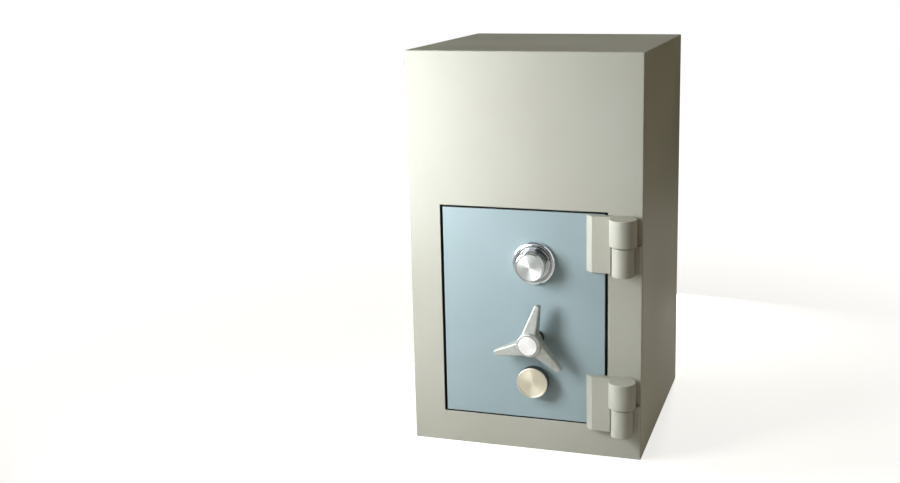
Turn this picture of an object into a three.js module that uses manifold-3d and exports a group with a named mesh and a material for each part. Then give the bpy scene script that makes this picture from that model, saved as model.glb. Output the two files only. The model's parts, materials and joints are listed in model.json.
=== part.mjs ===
// Drop safe with a hinged door in the front and a deposit drawer in the back.
// Lengths are in millimetres, +Z is up, +Y runs from the front face into the safe and
// +X is to the right of someone who faces the door. The origin is the middle of the
// body's underside.
import * as THREE from "three";
import { mergeVertices } from "three/addons/utils/BufferGeometryUtils.js";
import Module from "manifold-3d";

// Body of welded plate steel
const bodyWidth = 508;
const bodyDepth = 508;
const bodyHeight = 864;
const wallThickness = 12.7;
const frontThickness = 25.4;
const weldGap = 0.3;
const anchorRadius = 8;
const anchorInset = 62;

// Door opening and the stop bars that the door closes against
const leftJamb = 70;
const rightJamb = 72;
const sillHeight = 70;
const openingHeight = 466;
const sideGap = 6;
const topGap = 4;
const bottomGap = 3;
const edgeChamfer = 1.2;
const stopOverlap = 5;
const stopWidth = 31;
const stopThickness = 12.7;

// Barrel hinges
const barrelRadius = 28.5;
const lowerBarrelRadius = 23;
const barrelClearance = 0.5;
const barrelChamfer = 1.5;
const hingeSetback = 42.5;
const hingeHeight = 120;
const lowerKnuckleHeight = 61.5;
const knuckleGap = 2.4;
const upperHingeDrop = 1;
const lowerHingeOverhang = 9;
const strapThickness = 17;
const strapReach = 39;
const strapBevel = 14;
const strapEdge = 3;
const strapSlot = 5;
const leafThickness = 15;
const leafInset = 2;
const hingePinRadius = 8;
const hingePinReach = 45;
const washerInset = 3;
const turningClearance = 0.3;

// Column of hardware on the door
const columnShift = 24;
const dialDrop = 112;
const handleRise = 182;
const pullRise = 89;

// Combination dial
const ringRadius = 47;
const ringBoreRadius = 39;
const ringHeight = 10;
const ringBase = 2.5;
const ringChamfer = 4;
const ringInnerChamfer = 2;
const discRadius = 38;
const discThickness = 5;
const discBevel = 3;
const dialGap = 0.8;
const knobRadius = 31.75;
const knobNeckRadius = 27.5;
const knobNeckLength = 4;
const knobFaceRadius = 27.5;
const knobFaceDepth = 0.8;
const knobFaceRim = 1.6;
const knobLength = 43;
const knobBandLength = 7;
const knobGroove = 1.4;
const knobChamfer = 2.6;
const knobSocket = 14;
const dialSpindleRadius = 4;
const dialSpindleEnd = 24.6;

// Lock case behind the dial
const lockWidth = 60;
const lockHeight = 84;
const lockDepth = 30;
const lockWall = 4;
const lockCoverThickness = 2.5;
const camRadius = 15;
const camThickness = 6;
const camGate = 5;
const camSetback = 14.6;
const lockBoltWidth = 12;
const lockBoltDepth = 14;
const lockBoltLength = 24;
const lockBoltSetback = 11.6;

// Three-spoke handle
const spokeCount = 3;
const firstSpokeAngle = THREE.MathUtils.degToRad(78);
const hubRadius = 26;
const hubFront = 58;
const hubChamfer = 2;
const hubWaist = 30;
const stemRadius = 15;
const stemStart = 5.8;
const spokeReach = 86;
const spokeRootWidth = 37;
const spokeRootShift = 4;
const spokeTipWidth = 13;
const spokeBack = 31;
const spokeRootFront = 55;
const spokeTipFront = 43;
const capRadius = 20;
const capRecess = 2;
const capHeight = 2.5;
const handleSpindleRadius = 9.5;
const handleSpindleSocket = 12;
const handleSpindleEnd = 34;
const bushRadius = 14;
const bushFlangeRadius = 20;
const bushFlange = 5;

// Pull knob under the handle
const pullRadius = 33.5;
const pullNeckRadius = 13;
const pullNeckLength = 9;
const pullLength = 29;
const pullChamfer = 2.5;
const pullFaceRadius = 30.5;
const pullFaceDepth = 0.7;

// Rack and pinion between the handle and the locking bolts
const toothCount = 16;
const toothModule = 2;
const pressureAngle = THREE.MathUtils.degToRad(20);
const toothBacklash = 0.35;
const pinionAddendum = 1.9;
const pinionDedendum = 2.3;
const rackAddendum = 1.7;
const rackDedendum = 2.3;
const handleTurn = Math.PI / 2;
const pinionThickness = 14;
const rackThickness = 12;
const rackHeight = 14;
const spareTeeth = 2;
const flankSteps = 3;

// Locking bolts, the bar that carries them and what guides them
const boltCount = 3;
const boltRadius = 9.5;
const boltClearance = 0.4;
const boltStopGap = 1.1;
const boltTipInset = 17;
const boltLength = 60.7;
const boltTipChamfer = 2;
const boltSpigotRadius = 6;
const boltSpigotLength = 10;
const boltEndInset = 60;
const carrierWidth = 12;
const carrierDepth = 32;
const carrierOverrun = 22;
const tabWidth = 10;
const tabClearance = 1.5;
const guideWidth = 12;
const guideInset = 26;
const guideDepth = 36;
const guideEndGap = 2;
const rackGuideWidth = 25;
const rackGuideLip = 9;
const deadBarWidth = 16;
const deadBarInset = 8;
const deadBarReach = 2;
const deadBarSetback = 19.8;
const deadBarDepth = 33;
const deadBarEndInset = 27;
const coverDepth = 49.5;
const coverWall = 2;
const coverLeftInset = 21;
const coverRightInset = 26;
const coverEndInset = 14;

// Deposit drawer in the back
const drawerTopMargin = 154;
const drawerOpeningWidth = 294;
const drawerOpeningHeight = 100;
const drawerCornerRadius = 4;
const drawerGap = 4;
const drawerTravel = 170;
const drawerFaceThickness = 12.7;
const trayInset = 12;
const trayWall = 2;
const trayLength = 195;
const trayTop = 44;
const trayFloorOuter = 24;
const trayFloorInner = 49;
const earLength = 16;
const earTop = 22;
const runnerWall = 2;
const runnerHeight = 16;
const runnerTop = 18;
const runnerLength = 277;
const railLength = 187;
const sleeveThickness = 5;
const sleeveLength = 227;
const sleeveBottom = 56;
const sleeveTop = 66;
const sleeveRoof = 60;
const sleeveRoofThickness = 3;

// Flap that shuts the tray's inner end while the drawer is out
const flapTurn = THREE.MathUtils.degToRad(75);
const flapShaftRadius = 4;
const flapShaftDrop = 10;
const flapShaftSetback = 7;
const flapClearance = 1;
const flapThickness = 2.5;
const flapLength = 80;
const flapCurlRadius = 7;
const crankRadius = 16;
const crankThickness = 5;
const crankGap = 2.3;
const crankHubRadius = 7.5;
const crankPinRadius = 4;
const crankPinWall = 2;
const crankPinOverrun = 1;
const camSlotClearance = 0.5;
const camSlotSteps = 16;

// Pull bar and key lock of the drawer
const barLength = 120;
const barEndRadius = 4.2;
const barWaistRadius = 2;
const barDip = 2;
const barRise = 19;
const barStandoff = 25;
const barPostRadius = 4.5;
const barFootRadius = 5.8;
const barFootLength = 3;
const barStations = 12;
const keyDrop = 4.4;
const keyCollarRadius = 15;
const keyCollarHeight = 4;
const keyRecessInset = 1.5;
const keyRecessDepth = 2.2;
const keyBodyRadius = 11;
const keyBodyLength = 17.4;
const keyPlugRadius = 7.9;
const keyPlugInset = 1;
const keySlotOuter = 5.6;
const keyPostRadius = 2.6;
const keySlotDepth = 7;
const keyNeckRadius = 3.8;
const keyNeckLength = 6;
const nutRadius = 15;
const nutSides = 6;
const tongueLength = 62;
const tongueWidth = 15;
const tongueThickness = 3;
const tongueGap = 0.6;

// Faceting and cutting
const fineSides = 36;
const roundSides = 24;
const smallSides = 16;
const arcSteps = 4;
const cutOverrun = 5;
const mergeTolerance = 1e-4;

// Places that follow from the sizes above
const halfWidth = bodyWidth / 2;
const frontY = -bodyDepth / 2;
const rearY = bodyDepth / 2;
const openingLeft = -halfWidth + leftJamb;
const openingRight = halfWidth - rightJamb;
const openingTop = sillHeight + openingHeight;
const doorThickness = frontThickness;
const doorLeft = openingLeft + sideGap;
const doorRight = openingRight - sideGap;
const doorBottom = sillHeight + bottomGap;
const doorTop = openingTop - topGap;
const doorBack = doorThickness + weldGap;
const hingeX = doorRight + hingeSetback;
const hingeStandoff = barrelRadius + barrelClearance;
const hingeBottoms = {
  upper: doorTop - upperHingeDrop - hingeHeight,
  lower: doorBottom - lowerHingeOverhang,
};
const dialHeight = doorTop - dialDrop;
const handleHeight = doorBottom + handleRise;
const pullHeight = doorBottom + pullRise;
const pitchRadius = (toothModule * toothCount) / 2;
const toothPitch = Math.PI * toothModule;
const boltThrow = pitchRadius * handleTurn;
const stopBack = frontThickness + weldGap + stopThickness;
const boltDepth = stopBack + boltStopGap + boltRadius;
const boltTipX = doorLeft + boltTipInset;
const carrierLeft = boltTipX + boltLength + weldGap;
const rackFront = boltDepth - rackThickness / 2;
const rackBack = boltDepth + rackThickness / 2;
const rackRoot = handleHeight + pitchRadius + rackDedendum;
const rackTop = rackRoot + rackHeight;
const lockBottom = dialHeight - lockHeight / 2;
const drawerHeight = bodyHeight - drawerTopMargin - drawerOpeningHeight / 2;
const drawerBack = drawerFaceThickness + weldGap;
const sleeveFront = wallThickness + weldGap;
const sleeveInner = drawerOpeningWidth / 2;
const trayWidth = drawerOpeningWidth - trayInset * 2;
const flapDepth = drawerBack + trayLength + flapShaftSetback;
const flapHeight = trayTop - flapShaftDrop;
const crankInner = trayWidth / 2 + crankGap;

const wasm = await Module();
wasm.setup();

// A closed geometry as a solid that can be joined and cut
function toSolid(geometry) {
  const bare = geometry.clone();
  bare.deleteAttribute("normal");
  bare.deleteAttribute("uv");
  const merged = mergeVertices(bare, mergeTolerance);
  const mesh = new wasm.Mesh({
    numProp: 3,
    vertProperties: merged.attributes.position.array,
    triVerts: new Uint32Array(merged.index.array),
  });
  return new wasm.Manifold(mesh);
}

function toGeometry(solid) {
  const mesh = solid.getMesh();
  const geometry = new THREE.BufferGeometry();
  geometry.setAttribute("position", new THREE.BufferAttribute(mesh.vertProperties, 3));
  geometry.setIndex(new THREE.BufferAttribute(mesh.triVerts, 1));
  geometry.computeVertexNormals();
  return geometry;
}

function join(first, ...others) {
  const whole = others.reduce((sum, piece) => sum.add(toSolid(piece)), toSolid(first));
  return toGeometry(whole);
}

function cut(first, ...tools) {
  const rest = tools.reduce((left, tool) => left.subtract(toSolid(tool)), toSolid(first));
  return toGeometry(rest);
}

function common(first, second) {
  return toGeometry(toSolid(first).intersect(toSolid(second)));
}

// A box between two limits along each axis
function block([x0, x1], [y0, y1], [z0, z1]) {
  const box = new THREE.BoxGeometry(x1 - x0, y1 - y0, z1 - z0);
  return box.translate((x0 + x1) / 2, (y0 + y1) / 2, (z0 + z1) / 2);
}

// A round bar along one axis, at u and v on the other two
function rod(axis, radius, [from, to], [u, v] = [0, 0], sides = roundSides) {
  const bar = new THREE.CylinderGeometry(radius, radius, to - from, sides);
  const middle = (from + to) / 2;
  if (axis === "x") return bar.rotateZ(-Math.PI / 2).translate(middle, u, v);
  if (axis === "y") return bar.translate(u, middle, v);
  return bar.rotateX(Math.PI / 2).translate(u, v, middle);
}

// A turned piece about +Z, from pairs of radius and distance along the axis
function turned(profile, sides = fineSides) {
  const points = profile.map(([radius, along]) => new THREE.Vector2(radius, along));
  return new THREE.LatheGeometry(points, sides).rotateX(Math.PI / 2);
}

// A turned piece with a bore: its profile closes on itself
function turnedRing(profile, sides = fineSides) {
  return turned([...profile, profile[0]], sides);
}

function polygon(points) {
  return new THREE.Shape(points.map(([x, y]) => new THREE.Vector2(x, y)));
}

function rectangle([x0, x1], [y0, y1]) {
  return polygon([
    [x0, y0],
    [x1, y0],
    [x1, y1],
    [x0, y1],
  ]);
}

function roundedRectangle([x0, x1], [y0, y1], radius) {
  const shape = new THREE.Shape();
  shape.absarc(x1 - radius, y0 + radius, radius, -Math.PI / 2, 0);
  shape.absarc(x1 - radius, y1 - radius, radius, 0, Math.PI / 2);
  shape.absarc(x0 + radius, y1 - radius, radius, Math.PI / 2, Math.PI);
  shape.absarc(x0 + radius, y0 + radius, radius, Math.PI, Math.PI * 1.5);
  shape.closePath();
  return shape;
}

// A circle, or a regular figure with few sides
function circle(radius, [x, y] = [0, 0], sides = roundSides) {
  const points = Array.from({ length: sides }, (unused, index) => {
    const angle = ((index + 1 / 2) * Math.PI * 2) / sides;
    return [x + radius * Math.cos(angle), y + radius * Math.sin(angle)];
  });
  return polygon(points);
}

function withHoles(shape, ...holes) {
  shape.holes.push(...holes);
  return shape;
}

function extruded(shape, length, chamfer = 0) {
  const settings = {
    depth: length - chamfer * 2,
    curveSegments: arcSteps,
    bevelEnabled: chamfer > 0,
    bevelThickness: chamfer,
    bevelSize: chamfer,
    bevelOffset: -chamfer,
    bevelSegments: 1,
  };
  return new THREE.ExtrudeGeometry(shape, settings).translate(0, 0, chamfer);
}

// A plate whose outline lies in X and Z, between two depths along Y
function uprightPlate(shape, [front, back], chamfer = 0) {
  return extruded(shape, back - front, chamfer).rotateX(Math.PI / 2).translate(0, back, 0);
}

// A plate whose outline lies in Y and Z, between two places along X
function sidePlate(shape, [from, to], chamfer = 0) {
  const plate = extruded(shape, to - from, chamfer);
  return plate.rotateX(Math.PI / 2).rotateZ(Math.PI / 2).translate(from, 0, 0);
}

// A plate whose outline lies in X and Y, between two heights
function levelPlate(shape, [bottom, top], chamfer = 0) {
  return extruded(shape, top - bottom, chamfer).translate(0, 0, bottom);
}

const materials = {
  bodyPaint: new THREE.MeshStandardMaterial({ color: 0xb9bba9, roughness: 0.5 }),
  doorPaint: new THREE.MeshStandardMaterial({ color: 0x9fb4bd, roughness: 0.45 }),
  chrome: new THREE.MeshStandardMaterial({ color: 0xdcdfe0, roughness: 0.12, metalness: 1 }),
  turnedSteel: new THREE.MeshStandardMaterial({ color: 0xc8cac8, roughness: 0.3, metalness: 1 }),
  brassTint: new THREE.MeshStandardMaterial({ color: 0xd2c6a2, roughness: 0.32, metalness: 1 }),
  castHandle: new THREE.MeshStandardMaterial({ color: 0xa9aca6, roughness: 0.5, metalness: 0.6 }),
  steel: new THREE.MeshStandardMaterial({ color: 0x9a9d9f, roughness: 0.4, metalness: 0.9 }),
  sheetSteel: new THREE.MeshStandardMaterial({ color: 0x8c908f, roughness: 0.55, metalness: 0.6 }),
  brass: new THREE.MeshStandardMaterial({ color: 0xb59a55, roughness: 0.35, metalness: 1 }),
  darkSteel: new THREE.MeshStandardMaterial({ color: 0x3a3c3d, roughness: 0.45, metalness: 0.9 }),
};

function place(group, name, geometry, material) {
  const mesh = new THREE.Mesh(geometry, material);
  mesh.name = name;
  group.add(mesh);
  return mesh;
}

function makeGroup(parent, [x, y, z], [turnX, turnY, turnZ] = [0, 0, 0]) {
  const group = new THREE.Group();
  group.position.set(x, y, z);
  group.rotation.set(turnX, turnY, turnZ);
  parent.add(group);
  return group;
}

const safe = new THREE.Group();

// Plates of the body
function makeBody(group) {
  const across = [-halfWidth, halfWidth];
  const between = [frontY + frontThickness + weldGap, rearY - wallThickness - weldGap];
  const sideHeights = [wallThickness + weldGap, bodyHeight - wallThickness - weldGap];
  const whole = [0, bodyHeight];
  const anchors = [-1, 1].flatMap((sideX) =>
    [-1, 1].map((sideY) => {
      const spot = [sideX * (halfWidth - anchorInset), sideY * (rearY - anchorInset)];
      return rod("z", anchorRadius, [-cutOverrun, wallThickness + cutOverrun], spot);
    }),
  );
  const floor = cut(block(across, between, [0, wallThickness]), ...anchors);
  const roof = block(across, between, [bodyHeight - wallThickness, bodyHeight]);
  const leftSide = block([-halfWidth, -halfWidth + wallThickness], between, sideHeights);
  const rightSide = block([halfWidth - wallThickness, halfWidth], between, sideHeights);
  place(group, "bottom_plate", floor, materials.bodyPaint);
  place(group, "top_plate", roof, materials.bodyPaint);
  place(group, "left_wall", leftSide, materials.bodyPaint);
  place(group, "right_wall", rightSide, materials.bodyPaint);

  const doorway = rectangle([openingLeft, openingRight], [sillHeight, openingTop]);
  const frontShape = withHoles(rectangle(across, whole), doorway);
  const front = uprightPlate(frontShape, [frontY, frontY + frontThickness], edgeChamfer);
  place(group, "front_plate", front, materials.bodyPaint);

  const drawerway = roundedRectangle(
    [-sleeveInner, sleeveInner],
    [drawerHeight - drawerOpeningHeight / 2, drawerHeight + drawerOpeningHeight / 2],
    drawerCornerRadius,
  );
  const backShape = withHoles(rectangle(across, whole), drawerway);
  const back = uprightPlate(backShape, [rearY - wallThickness, rearY], edgeChamfer);
  place(group, "back_plate", back, materials.bodyPaint);
}

// Stop bars behind the door opening, in the frame of the front face
function makeStops(group) {
  const depths = [frontThickness + weldGap, stopBack];
  const left = doorLeft + stopOverlap;
  const right = doorRight - stopOverlap;
  const bottom = doorBottom + stopOverlap;
  const top = doorTop - stopOverlap;
  const fullHeight = [bottom - stopWidth, top + stopWidth];
  const inBetween = [left + weldGap, right - weldGap];
  const bars = {
    door_stop_left: block([left - stopWidth, left], depths, fullHeight),
    door_stop_right: block([right, right + stopWidth], depths, fullHeight),
    door_stop_bottom: block(inBetween, depths, [bottom - stopWidth, bottom]),
    door_stop_top: block(inBetween, depths, [top, top + stopWidth]),
  };
  Object.entries(bars).forEach(([name, bar]) => place(group, name, bar, materials.bodyPaint));
}

// Half of a barrel hinge that is welded to the body, with its pin and thrust washer.
// The group stands on the barrel's axis, at the hinge's lower end.
function makeBodyHinge(group, name) {
  const face = hingeStandoff - weldGap;
  const leafEnd = halfWidth - leafInset - hingeX;
  const height = lowerKnuckleHeight - knuckleGap / 2;
  const barrel = levelPlate(circle(lowerBarrelRadius), [0, height], barrelChamfer);
  const leafShape = rectangle([0, leafEnd], [hingeStandoff - leafThickness, face]);
  const pinBottom = lowerKnuckleHeight - hingePinReach;
  const bore = rod(
    "z",
    hingePinRadius + turningClearance,
    [pinBottom - weldGap, height + cutOverrun],
  );
  const knuckle = cut(join(barrel, levelPlate(leafShape, [0, height])), bore);
  place(group, name + "_body_knuckle", knuckle, materials.bodyPaint);

  const pinTop = lowerKnuckleHeight + hingePinReach;
  const pin = rod("z", hingePinRadius, [pinBottom, pinTop]);
  place(group, name + "_hinge_pin", pin, materials.steel);

  const washerBottom = height + weldGap;
  const washerTop = lowerKnuckleHeight + knuckleGap / 2 - weldGap;
  const washerBore = hingePinRadius + turningClearance;
  const washerRadius = lowerBarrelRadius - washerInset;
  const washer = turnedRing(
    [
      [washerBore, washerBottom],
      [washerRadius, washerBottom],
      [washerRadius, washerTop],
      [washerBore, washerTop],
    ],
    roundSides,
  );
  place(group, name + "_hinge_washer", washer, materials.brass);
}

// Half of a barrel hinge that is welded to the door: a bevelled strap with the upper knuckle
function makeDoorHinge(group, name) {
  const face = hingeStandoff - weldGap;
  const outer = hingeStandoff - strapThickness;
  const strapLeft = -(hingeSetback + strapReach);
  const slotX = -(lowerBarrelRadius + strapSlot);
  const splitTop = lowerKnuckleHeight + knuckleGap / 2;
  const bevelled = (right) =>
    polygon([
      [strapLeft, face],
      [strapLeft, face - strapEdge],
      [strapLeft + strapBevel, outer],
      [right, outer],
      [right, face],
    ]);
  const strap = levelPlate(bevelled(slotX), [0, hingeHeight]);
  const bridge = levelPlate(bevelled(0), [splitTop, hingeHeight]);
  const barrel = levelPlate(circle(barrelRadius), [splitTop, hingeHeight], barrelChamfer);
  const bore = rod(
    "z",
    hingePinRadius + turningClearance,
    [splitTop - cutOverrun, lowerKnuckleHeight + hingePinReach + weldGap],
  );
  place(group, name + "_hinge_strap", cut(join(strap, bridge, barrel), bore), materials.bodyPaint);
}

// Door plate with the holes of its hardware, in the frame of the front face
function makeDoorPlate(group) {
  const outline = rectangle([doorLeft, doorRight], [doorBottom, doorTop]);
  const plate = uprightPlate(outline, [0, doorThickness], edgeChamfer);
  const through = [-cutOverrun, doorThickness + cutOverrun];
  const dialHole = rod("y", dialSpindleRadius + turningClearance, through, [columnShift, dialHeight]);
  const bushHole = rod("y", bushRadius + weldGap, through, [columnShift, handleHeight]);
  place(group, "door_plate", cut(plate, dialHole, bushHole), materials.doorPaint);
}

// Fixed ring round the dial; the group's +Z points out of the door
function makeDialRing(group) {
  const bore = dialSpindleRadius + turningClearance;
  const floor = weldGap + ringBase;
  const front = weldGap + ringHeight;
  const ring = turnedRing([
    [bore, weldGap],
    [ringRadius, weldGap],
    [ringRadius, front - ringChamfer],
    [ringRadius - ringChamfer, front],
    [ringBoreRadius + ringInnerChamfer, front],
    [ringBoreRadius, front - ringInnerChamfer],
    [ringBoreRadius, floor],
    [bore, floor],
  ]);
  place(group, "dial_ring", ring, materials.chrome);
}

// Dial disc, grip knob, spindle and drive cam, which turn together
function makeDial(group) {
  const bore = dialSpindleRadius + weldGap;
  const discBack = weldGap + ringBase + dialGap;
  const discFront = discBack + discThickness;
  const disc = turnedRing([
    [bore, discBack],
    [discRadius, discBack],
    [discRadius, discFront - discBevel],
    [discRadius - discBevel, discFront],
    [bore, discFront],
  ]);
  place(group, "dial_disc", disc, materials.chrome);

  const back = discFront + weldGap;
  const neckEnd = back + knobNeckLength;
  const firstGroove = neckEnd + knobBandLength;
  const secondBand = firstGroove + knobGroove * 2;
  const secondGroove = secondBand + knobBandLength;
  const lastBand = secondGroove + knobGroove * 2;
  const face = knobLength - knobFaceDepth;
  const socketEnd = back + knobSocket;
  const knob = turned([
    [0, socketEnd],
    [bore, socketEnd],
    [bore, back],
    [knobNeckRadius, back],
    [knobNeckRadius, neckEnd - knobGroove],
    [knobRadius, neckEnd],
    [knobRadius, firstGroove],
    [knobRadius - knobGroove, firstGroove + knobGroove / 2],
    [knobRadius - knobGroove, secondBand - knobGroove / 2],
    [knobRadius, secondBand],
    [knobRadius, secondGroove],
    [knobRadius - knobGroove, secondGroove + knobGroove / 2],
    [knobRadius - knobGroove, lastBand - knobGroove / 2],
    [knobRadius, lastBand],
    [knobRadius, knobLength - knobChamfer],
    [knobFaceRadius + knobFaceRim, knobLength],
    [knobFaceRadius, knobLength],
    [knobFaceRadius - knobFaceDepth, face],
    [0, face],
  ]);
  place(group, "dial_knob", knob, materials.turnedSteel);

  const spindleEnd = -(doorThickness + dialSpindleEnd);
  const spindle = rod("z", dialSpindleRadius, [spindleEnd, socketEnd - weldGap], [0, 0], smallSides);
  place(group, "dial_spindle", spindle, materials.brass);

  const camFront = -(doorThickness + camSetback);
  const camBack = camFront - camThickness;
  const camDisc = rod("z", camRadius, [camBack, camFront]);
  const gate = block(
    [-camGate / 2, camGate / 2],
    [camRadius - camGate, camRadius + cutOverrun],
    [camBack - cutOverrun, camFront + cutOverrun],
  );
  const camBore = rod("z", bore, [camBack - cutOverrun, camFront + cutOverrun], [0, 0], smallSides);
  place(group, "drive_cam", cut(camDisc, gate, camBore), materials.brass);
}

// Lock case, its cover and the bolt that it throws down beside the carrier's tab
function makeLock(group) {
  const across = [columnShift - lockWidth / 2, columnShift + lockWidth / 2];
  const heights = [lockBottom, lockBottom + lockHeight];
  const caseBack = doorBack + lockDepth;
  const inset = ([low, high]) => [low + lockWall, high - lockWall];
  const outside = block(across, [doorBack, caseBack], heights);
  const inside = block(inset(across), [doorBack + lockWall, caseBack + cutOverrun], inset(heights));
  const hole = rod(
    "y",
    dialSpindleRadius + turningClearance,
    [doorBack - cutOverrun, doorBack + lockWall + cutOverrun],
    [columnShift, dialHeight],
    smallSides,
  );
  const halfBolt = lockBoltWidth / 2;
  const boltFront = doorThickness + lockBoltSetback;
  const boltBack = boltFront + lockBoltDepth;
  const slot = block(
    [columnShift - halfBolt - turningClearance, columnShift + halfBolt + turningClearance],
    [boltFront - turningClearance, boltBack + turningClearance],
    [lockBottom - cutOverrun, lockBottom + lockWall + cutOverrun],
  );
  place(group, "lock_case", cut(outside, inside, hole, slot), materials.brass);

  const coverDepths = [caseBack + weldGap, caseBack + weldGap + lockCoverThickness];
  place(group, "lock_cover", block(across, coverDepths, heights), materials.sheetSteel);

  const lockBolt = block(
    [columnShift - halfBolt, columnShift + halfBolt],
    [boltFront, boltBack],
    [lockBottom, lockBottom + lockBoltLength],
  );
  place(group, "lock_bolt", lockBolt, materials.brass);
}

// One tapered spoke along +X: a plan outline that is cut to its side outline.
// Its root stands a little to the left of the hub's centre, seen along the spoke.
function spoke() {
  const rootX = stemRadius;
  const tipRadius = spokeTipWidth / 2;
  const tipX = spokeReach - tipRadius;
  const plan = new THREE.Shape();
  plan.moveTo(rootX, spokeRootShift - spokeRootWidth / 2);
  plan.lineTo(tipX, -tipRadius);
  plan.absarc(tipX, 0, tipRadius, -Math.PI / 2, Math.PI / 2);
  plan.lineTo(rootX, spokeRootShift + spokeRootWidth / 2);
  plan.closePath();
  const side = polygon([
    [rootX, spokeBack],
    [spokeReach, spokeBack],
    [spokeReach, spokeTipFront],
    [hubRadius, spokeRootFront],
    [rootX, spokeRootFront],
  ]);
  const flat = levelPlate(plan, [spokeBack, spokeRootFront]);
  const wedge = uprightPlate(side, [-spokeRootWidth, spokeRootWidth]);
  return common(flat, wedge);
}

// Handle casting with its hub and spokes, the cap, the spindle and the pinion
function makeHandle(group) {
  const socketEnd = hubFront - handleSpindleSocket;
  const socketRadius = handleSpindleRadius + weldGap;
  const recess = hubFront - capRecess;
  const hub = turned([
    [0, socketEnd],
    [socketRadius, socketEnd],
    [socketRadius, stemStart],
    [stemRadius, stemStart],
    [stemRadius, hubWaist - (hubRadius - stemRadius) / 2],
    [hubRadius, hubWaist],
    [hubRadius, hubFront - hubChamfer],
    [hubRadius - hubChamfer, hubFront],
    [capRadius + weldGap, hubFront],
    [capRadius + weldGap, recess],
    [0, recess],
  ]);
  const spokes = Array.from({ length: spokeCount }, (unused, index) =>
    spoke().rotateZ(firstSpokeAngle + (index * Math.PI * 2) / spokeCount),
  );
  const socket = rod("z", socketRadius, [stemStart - cutOverrun, socketEnd]);
  const casting = cut(join(hub, ...spokes), socket);
  place(group, "handle_spokes", casting, materials.castHandle);

  const capBack = recess + weldGap;
  const capFront = hubFront + capHeight;
  const cap = turned([
    [0, capBack],
    [capRadius, capBack],
    [capRadius, capFront - hubChamfer / 2],
    [capRadius - hubChamfer / 2, capFront],
    [0, capFront],
  ]);
  place(group, "handle_cap", cap, materials.turnedSteel);

  const spindleEnd = -(doorThickness + handleSpindleEnd);
  const spindle = rod("z", handleSpindleRadius, [spindleEnd, socketEnd - weldGap]);
  place(group, "handle_spindle", spindle, materials.steel);

  const middle = -boltDepth;
  const pinion = extruded(pinionShape(), pinionThickness);
  const pinionBack = middle - pinionThickness / 2;
  place(group, "pinion", pinion.translate(0, 0, pinionBack), materials.steel);
}

// Involute pinion with a tooth space at the top, where the rack runs
function pinionShape() {
  const baseRadius = pitchRadius * Math.cos(pressureAngle);
  const tipRadius = pitchRadius + pinionAddendum;
  const rootRadius = pitchRadius - pinionDedendum;
  const toothWidth = toothPitch / 2 - toothBacklash;
  const involute = (radius) => {
    const angle = Math.acos(baseRadius / radius);
    return Math.tan(angle) - angle;
  };
  const halfAngle = (radius) =>
    toothWidth / 2 / pitchRadius + involute(pitchRadius) - involute(radius);
  const radii = Array.from(
    { length: flankSteps + 1 },
    (unused, step) => baseRadius + ((tipRadius - baseRadius) * step) / flankSteps,
  );
  const rising = [rootRadius, ...radii].map((radius) => [
    radius,
    -halfAngle(Math.max(radius, baseRadius)),
  ]);
  const falling = rising.map(([radius, angle]) => [radius, -angle]).reverse();
  const toothAngle = (Math.PI * 2) / toothCount;
  const points = Array.from({ length: toothCount }, (unused, index) => {
    const middle = Math.PI / 2 + (index + 1 / 2) * toothAngle;
    return [...rising, ...falling].map(([radius, angle]) => [
      radius * Math.cos(middle + angle),
      radius * Math.sin(middle + angle),
    ]);
  });
  return withHoles(polygon(points.flat()), circle(handleSpindleRadius + weldGap));
}

// Rack arm with its teeth below and the tab that the lock bolt blocks above
function rackShape() {
  const pitchLine = handleHeight + pitchRadius;
  const halfWidthAt = (drop) =>
    (toothPitch / 2 - toothBacklash) / 2 - drop * Math.tan(pressureAngle);
  const tipHalf = halfWidthAt(rackAddendum);
  const rootHalf = halfWidthAt(-rackDedendum);
  const tipZ = pitchLine - rackAddendum;
  const teethRight = Math.round(boltThrow / toothPitch) + spareTeeth;
  const count = spareTeeth + teethRight + 1;
  const teeth = Array.from({ length: count }, (unused, index) => {
    const middle = columnShift + (index - spareTeeth) * toothPitch;
    return [
      [middle - rootHalf, rackRoot],
      [middle - tipHalf, tipZ],
      [middle + tipHalf, tipZ],
      [middle + rootHalf, rackRoot],
    ];
  });
  const right = columnShift + (teethRight + 1) * toothPitch;
  const tabLeft = columnShift + lockBoltWidth / 2 + tabClearance;
  const tabTop = lockBottom - tabClearance;
  return polygon([
    [carrierLeft + carrierWidth / 2, rackRoot],
    ...teeth.flat(),
    [right, rackRoot],
    [right, rackTop],
    [tabLeft + tabWidth, rackTop],
    [tabLeft + tabWidth, tabTop],
    [tabLeft, tabTop],
    [tabLeft, rackTop],
    [carrierLeft + carrierWidth / 2, rackTop],
  ]);
}

// Heights of the locking bolts, spread evenly between the door's ends
function boltHeights() {
  const first = doorBottom + boltEndInset;
  const last = doorTop - boltEndInset;
  const step = (last - first) / (boltCount - 1);
  return Array.from({ length: boltCount }, (unused, index) => first + index * step);
}

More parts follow.
